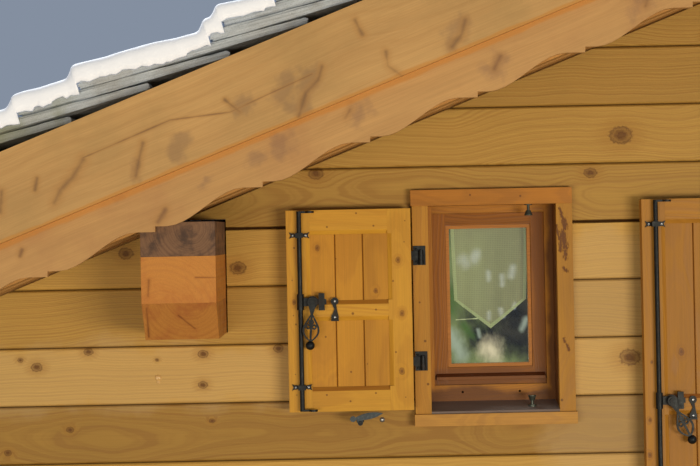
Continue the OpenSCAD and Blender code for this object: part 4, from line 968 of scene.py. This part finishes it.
def make_curtain():
    """A pennant of voile on its rod: x(u) = (u - 1/2) * width(v) and z = top - v * length(u), with shallow
    folds y(u, v) that grow downwards, after a sleeve that goes once round the rod."""
    u = np.linspace(0.0, 1.0, 65)
    length = CURTAIN["side"] + (CURTAIN["middle"] - CURTAIN["side"]) * (1 - np.abs(2 * u - 1))
    rod_z = CURTAIN["top"] + SLEEVE_RISE
    turn = np.radians(np.linspace(-75.0, 255.0, 17))
    sleeve = [(SLEEVE_END[0], CURTAIN["top"] - SLEEVE_END[1])]
    sleeve += [(SLEEVE_R * math.cos(a), rod_z + SLEEVE_R * math.sin(a)) for a in turn]
    rows = []
    for y, z in sleeve:
        rows.append(np.stack([(u - 0.5) * CURTAIN["wide"], np.full_like(u, y), np.full_like(u, z)], axis=1))
    for v in np.linspace(0.0, 1.0, 73):
        width = CURTAIN["wide"] + (CURTAIN["foot"] - CURTAIN["wide"]) * v
        folds = sum(depth * np.sin(turns * u + start + lean * v) for depth, turns, start, lean in FOLDS)
        y = -CLOTH_STEP + folds * (FOLDS_AT_TOP + (1 - FOLDS_AT_TOP) * v)
        z = CURTAIN["top"] - CLOTH_STEP - v * (length - CLOTH_STEP)
        rows.append(np.stack([(u - 0.5) * width, y, z], axis=1))
    points = np.stack(rows) + np.array([CURTAIN["x"], CURTAIN["y"], 0.0])
    count, cols = points.shape[:2]
    k, j = np.meshgrid(np.arange(count - 1), np.arange(cols - 1), indexing="ij")
    quads = np.stack([k * cols + j, (k + 1) * cols + j, (k + 1) * cols + j + 1, k * cols + j + 1], axis=-1)
    single = sheer_voile("olive_voile", "#CDC69A", 0.75)
    doubled = sheer_voile("olive_voile_hem", "#D8DCA6", 0.95)
    piece = new_piece("pennant_curtain", points, quads.reshape(-1, 4).tolist(), [single, doubled],
                      "curtain_fabric")
    hem = (j < 3) | (j > cols - 5) | (k > count - 5) | (k < len(sleeve) + 1)
    piece.data.polygons.foreach_set("material_index", hem.astype(int).ravel().tolist())
    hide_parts("curtain")


def lathe(name, profile, places, material, slot, body="wall_section", sides=20):
    """Small turned pieces facing out of the wall: rings of points at (radius, height) of the profile round
    each place's own axis, closed by a pole at the foot and at the head. Heights run towards -Y."""
    turn = np.arange(sides) * 2 * np.pi / sides
    round_axis = np.stack([np.cos(turn), np.zeros(sides), np.sin(turn)], axis=1)
    shells = []
    for x, y, z, size in places:
        heights = [profile[0][1], profile[-1][1]]
        poles = np.array([[x, y - size * h, z] for h in heights])
        rings = [np.array([x, y - size * h, z]) + size * r * round_axis for r, h in profile]
        shells.append(np.concatenate([poles] + rings))
    new_piece(name, *closed_shells(shells, sides), [material], slot, body)


# Turned shapes of radius 1 as (radius, height): a screw's dome with a socket in it, a washer, a drop
SCREW = [
    (1.0, -0.3), (1.0, 0.06), (0.93, 0.24), (0.76, 0.40), (0.55, 0.48), (0.42, 0.50), (0.36, 0.30),
    (0.3, 0.28),
]
WASHER = [(1.0, -0.05), (1.0, 0.10), (0.94, 0.16), (0.5, 0.17)]
DROP = [(1.0, -0.05), (0.95, 0.12), (0.72, 0.28), (0.4, 0.37), (0.12, 0.39)]
WASHER_X, WASHER_Z = -0.452, 1.131
WASHER_R = 0.009
WALL_SCREW_R = 0.005
WALL_SCREW_SEAT = 0.0012
RESIN_DROPS = [(-1.222, WALL_FACE, 1.291, 0.011), (-1.2205, WALL_FACE, 1.277, 0.007)]


def make_fixings():
    """Screws in the guides, the handle rests and the hinge plates, a washer and its screw on the wall, and
    two drops of resin that ran together. A place is x, y, z and the radius."""
    steel = plain_metal("zinc_plated_steel", "#B9BCBE", 0.35)
    for leaf in LOCK_Z:
        rod_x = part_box(leaf + "_locking_rod")[0].x + ROD_EDGE
        low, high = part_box(leaf + "_rod_guides")
        places = [(rod_x + side, LEAF_FACE - GUIDE_T, z, SCREW_R)
                  for z in (low.z + GUIDE_HALF, high.z - GUIDE_HALF) for side in (-GUIDE_SCREW, GUIDE_SCREW)]
        places += [(rod_x + REST_SIDE, LEAF_FACE - REST_T, LOCK_Z[leaf] - drop, SCREW_R)
                   for drop in (0.0, REST_DROP)]
        lathe(leaf + "_bright_screws", SCREW, places, steel, "black_iron", leaf + "_shutter")
    black = forged_iron("black_screw_head")
    pins = [(x - HINGE_SIDE, CASING_FACE - HINGE_T, z + rise, HINGE_SCREW_R)
            for x, heights in HINGES for z in heights for rise in (-HINGE_RISE, HINGE_RISE)]
    lathe("hinge_plate_screws", SCREW, pins, black, "black_iron")
    dull = plain_metal("dull_zinc_washer", "#6E665E", 0.6)
    lathe("wall_washer", WASHER, [(WASHER_X, WALL_FACE, WASHER_Z, WASHER_R)], dull, "black_iron")
    on_washer = (WASHER_X, WALL_FACE - WALL_SCREW_SEAT, WASHER_Z, WALL_SCREW_R)
    lathe("wall_screw", SCREW, [on_washer], steel, "black_iron")
    resin, tree = new_material("larch_resin")
    shader = add(tree, "BsdfPrincipled", "#D9B070", Roughness=0.15, IOR=1.5)
    add(tree, "OutputMaterial", shader, out=None)
    lathe("resin_drop", DROP, RESIN_DROPS, resin, "log_wood")


def near_black_felt():
    """Near-black wool felt, as dark as the shade in the joint, in which fluff a few millimetres across shows.
    """
    material, tree = new_material("near_black_felt_shade")
    point = add(tree, "TexCoord", out="Object")
    fluff = add(tree, "TexNoise", Vector=point, Scale=400.0, Detail=3.0)
    tone = add(tree, "MixRGB", fluff, "#17120E", "#2C231B")
    add(tree, "OutputMaterial", add(tree, "BsdfPrincipled", tone, Roughness=1.0), out=None)
    return material


# Felt over and beside a purlin: how far from it the strip's middle lies, and half the strip's thickness
FELT_OVER = (0.0048, 0.0045)
FELT_BESIDE = (0.0019, 0.0016)
FELT_DEPTH = 0.026


def make_joint_felt():
    """Near-black felt in the open joint over and beside each purlin where it passes the wall, closing it and
    standing in for the shade in it. A strip is a rounded oblong along the joint: path(t) + half * root(cos a)
    * across + depth(t) * root(sin a) * Y.
    The root is the square root of the number without its sign, which is then given back."""
    turn = np.arange(16) * 2 * np.pi / 16
    rounded = [np.sign(wave) * np.abs(wave) ** 0.5 for wave in (np.cos(turn), np.sin(turn))]
    share = np.linspace(0.0, 1.0, 25)
    depth = FELT_DEPTH + chipped(share, 40, 0.05, 0.005, 1.0)
    strips = []
    for x, top in zip(PURLIN_X, PURLIN_TOP):
        left, right, head = (x - PURLIN_HALF) * MM, (x + PURLIN_HALF) * MM, top * MM
        foot, over, beside = head - PURLIN_STACK, head + FELT_OVER[0], right + FELT_BESIDE[0]
        for start, end, across, half in (
                ((left, 0, over), (right, 0, over), (0, 0, -1), FELT_OVER[1]),
                ((beside, 0, foot), (beside, 0, head), (1, 0, 0), FELT_BESIDE[1])):
            path = np.outer(1 - share, start) + np.outer(share, end)
            ring = path[:, None] + half * rounded[0][None, :, None] * np.asarray(across)
            ring = ring + depth[:, None, None] * rounded[1][None, :, None] * np.array([0.0, 1.0, 0.0])
            strips.append(np.concatenate([path[[0, -1]], ring.reshape(-1, 3)]))
    new_piece("joint_felt", *closed_shells(strips, len(turn)), [near_black_felt()], "log_wood")


def dress_iron():
    """Black forged iron, the paler stays and rod catches, the brass curtain rod and the window panes."""
    shutter_iron = ("_hinge_straps", "_rod_guides", "_locking_rod", "_handle")
    black = [name for name in NODES if name.endswith(shutter_iron)] + ["hinge_pins", "stay_pins"]
    set_material(black, forged_iron("blackened_forged_iron"))
    set_material(["small_stay", "tall_stay"], forged_iron("weathered_stay_iron", "#3C4448", "#737B7E"))
    set_material(["rod_catches"], forged_iron("dull_zinc_catch", "#454B44", "#7C8276"))
    set_material(["curtain_rod"], plain_metal("polished_brass", "#C89A50", 0.3))
    set_material(["glass_panes"], window_pane())


# What the panes show, painted on a glowing card as reflections: lines (half width, then points, in
# millimetres), tint and share
PAINTED_PANE_REFLECTIONS = [
    ([(60, (-190, 1480), (-190, 1330)), (45, (-150, 1310), (20, 1290)), (90, (-150, 1700), (-150, 1560)),
      (120, (1180, 900), (1180, 600)), (110, (1480, 1500), (1400, 1200))], "#7C8450", 0.85),
    ([(26, (-196, 1560), (-192, 1490)), (14, (-150, 1440), (-120, 1400))], "#3E5A1C", 0.8),
    ([(22, (-190, 1400), (-160, 1330)), (9, (58, 1420), (76, 1455)), (6, (-100, 1420), (-94, 1395))],
     "#A2A896", 0.7),
    ([(30, (-60, 1352), (-48, 1338)), (60, (1330, 640), (1340, 600))], "#DCC8A4", 0.9),
    ([(8, (-57, 1625), (-57, 1600)), (8, (-9, 1612), (-9, 1580)), (10, (32, 1640), (24, 1612)),
      (16, (-142, 1672), (-136, 1660)), (8, (-16, 1492), (-12, 1470)), (7, (-59, 1480), (-59, 1460)),
      (14, (-110, 1675), (-100, 1690)), (6, (36, 1512), (30, 1500)), (10, (1250, 1500), (1240, 1440))],
     "#F4F6FF", 0.7),
    ([(1.6, (-176, 1458), (-100, 1461))], "#D8D8A0", 0.8),
]
# Sides, foot and head of the card behind each window, in metres, and its place behind the panes
ROOM_CARDS = [(-0.55, 0.42, 0.9, 2.1), (0.82, 1.88, 0.2, 2.1)]
ROOM_Y = 0.17
FLOOR_HALF = 14.0
# Place, aim, width and height in metres, watts and colour of each lamp
LAMPS = [
    ("low_key", (2.8, -6.6, 0.75), (-0.3, 0.0, 1.8), 3.0, 1.1, 139, "#FFF0D6"),
    ("low_front", (-2.7, -6.4, 0.7), (-1.0, 0.0, 1.9), 3.4, 1.0, 58, "#FFF0D6"),
    ("roof_light", (-2.5, 3.5, 5.5), (-0.5, 0.0, 2.8), 3.0, 2.0, 156, "#F4F8FF"),
]
LAMP_SPREAD = math.radians(140.0)


def stage_card(name, corners, material):
    """A flat card of the stage with one material."""
    mesh = bpy.data.meshes.new(name)
    mesh.from_pydata(corners, [], [(0, 1, 2, 3)])
    mesh.materials.append(material)
    card = bpy.data.objects.new(name, mesh)
    bpy.context.scene.collection.objects.link(card)
    return card


def lay_floor():
    """A plain pale floor, rough as plaster."""
    plaster, tree = new_material("studio_floor")
    add(tree, "OutputMaterial", add(tree, "BsdfPrincipled", "#C9C4BA", Roughness=0.9), out=None)
    low, high = -FLOOR_HALF, FLOOR_HALF
    stage_card("studio_floor", [(low, low, 0), (high, low, 0), (high, high, 0), (low, high, 0)], plaster)


def hang_reflection_cards():
    """Behind each pane a glowing card paints the dark of the room as painted shade, with painted reflections
    on
    it: green patches at the left, a pale patch low in the middle and small bright glints. Only rays that
    have passed through glass see it."""
    room, tree = new_material("dark_room_and_reflections")
    point = add(tree, "TexCoord", out="Object")
    flat = add(tree, "VectorMath", point, (1.0, 0.0, 1.0), operation="MULTIPLY")
    leaves = add(tree, "TexNoise", Vector=add(tree, "Mapping", point, Scale=(1.0, 1.0, 0.6)), Scale=26.0,
                 Detail=4.0, Roughness=0.6)
    clouds = add(tree, "TexNoise", Vector=point, Scale=9.0, Detail=4.0, Roughness=0.6)
    tone = add(tree, "MixRGB", add(tree, "MapRange", clouds, 0.35, 0.65, 0.0, 1.0), "#0D0B08", "#3A3426")
    for lines, tint, share in PAINTED_PANE_REFLECTIONS:
        soft = streak_field(tree, flat, lines, ALONG)
        soft = add(tree, "Math", soft, add(tree, "MapRange", leaves, 0.25, 0.75, -0.6, 0.6))
        soft = add(tree, "MapRange", soft, -0.3, 2.1, share, 0.0, **SMOOTH)
        tone = add(tree, "MixRGB", soft, tone, tint)
    # The card glows: painted reflections over the painted dark of the room
    add(tree, "OutputMaterial", add(tree, "Emission", tone, 1.3), out=None)
    for left, right, foot, head in ROOM_CARDS:
        corners = [(x, ROOM_Y, z) for x, z in ((left, foot), (right, foot), (right, head), (left, head))]
        card = stage_card("dark_room_and_reflections", corners, room)
        card.visible_camera = False
        card.visible_glossy = False
        card.visible_diffuse = False
        card.visible_shadow = False


def light_sky():
    """An even dim light from all sides, and a plain grey blue where the camera, gloss or glass sees it."""
    world = bpy.data.worlds.new("studio")
    world.use_nodes = True
    bpy.context.scene.world = world
    tree = world.node_tree
    tree.nodes.clear()
    path = add(tree, "LightPath", out=None)
    seen = add(tree, "Math", path["Is Camera Ray"], path["Is Glossy Ray"], operation="MAXIMUM")
    seen = add(tree, "Math", seen, path["Is Transmission Ray"], operation="MAXIMUM")
    light = add(tree, "Background", "#F2F0EA", 0.3)
    backdrop = add(tree, "Background", "#848FA0", 1.0)
    add(tree, "OutputWorld", add(tree, "MixShader", seen, light, backdrop), out=None)


def hang_lamps():
    """Soft oblong lamps: two low ones in front, and one high up behind the roof."""
    for name, at, aim, wide, high, watts, tint in LAMPS:
        data = bpy.data.lights.new(name, "AREA")
        data.shape = "RECTANGLE"
        data.size = wide
        data.size_y = high
        data.energy = watts
        data.spread = LAMP_SPREAD
        data.color = paint(tint)[:3]
        lamp = bpy.data.objects.new(name, data)
        lamp.location = at
        lamp.rotation_euler = (Vector(aim) - Vector(at)).to_track_quat("-Z", "Y").to_euler()
        lamp.visible_camera = False
        bpy.context.scene.collection.objects.link(lamp)


dress_logs()
dress_roof()
dress_purlin_ends()
dress_casings()
dress_windows()
dress_shutters()
dress_iron()
STONE = split_gneiss()
make_slabs("verge_slab_stones", "verge_slabs", 240, lambda row: (verge_y(row), split_y(row)), 500, STONE)
make_slabs("inner_slab_stones", "inner_slabs", 96, lambda row: (split_y(row) + SPLIT_GAP, SLAB_INNER), 900,
           STONE)
make_snow()
make_curtain()
make_fixings()
make_joint_felt()
bpy.context.scene.view_settings.view_transform = "Standard"
lay_floor()
hang_reflection_cards()
light_sky()
hang_lamps()
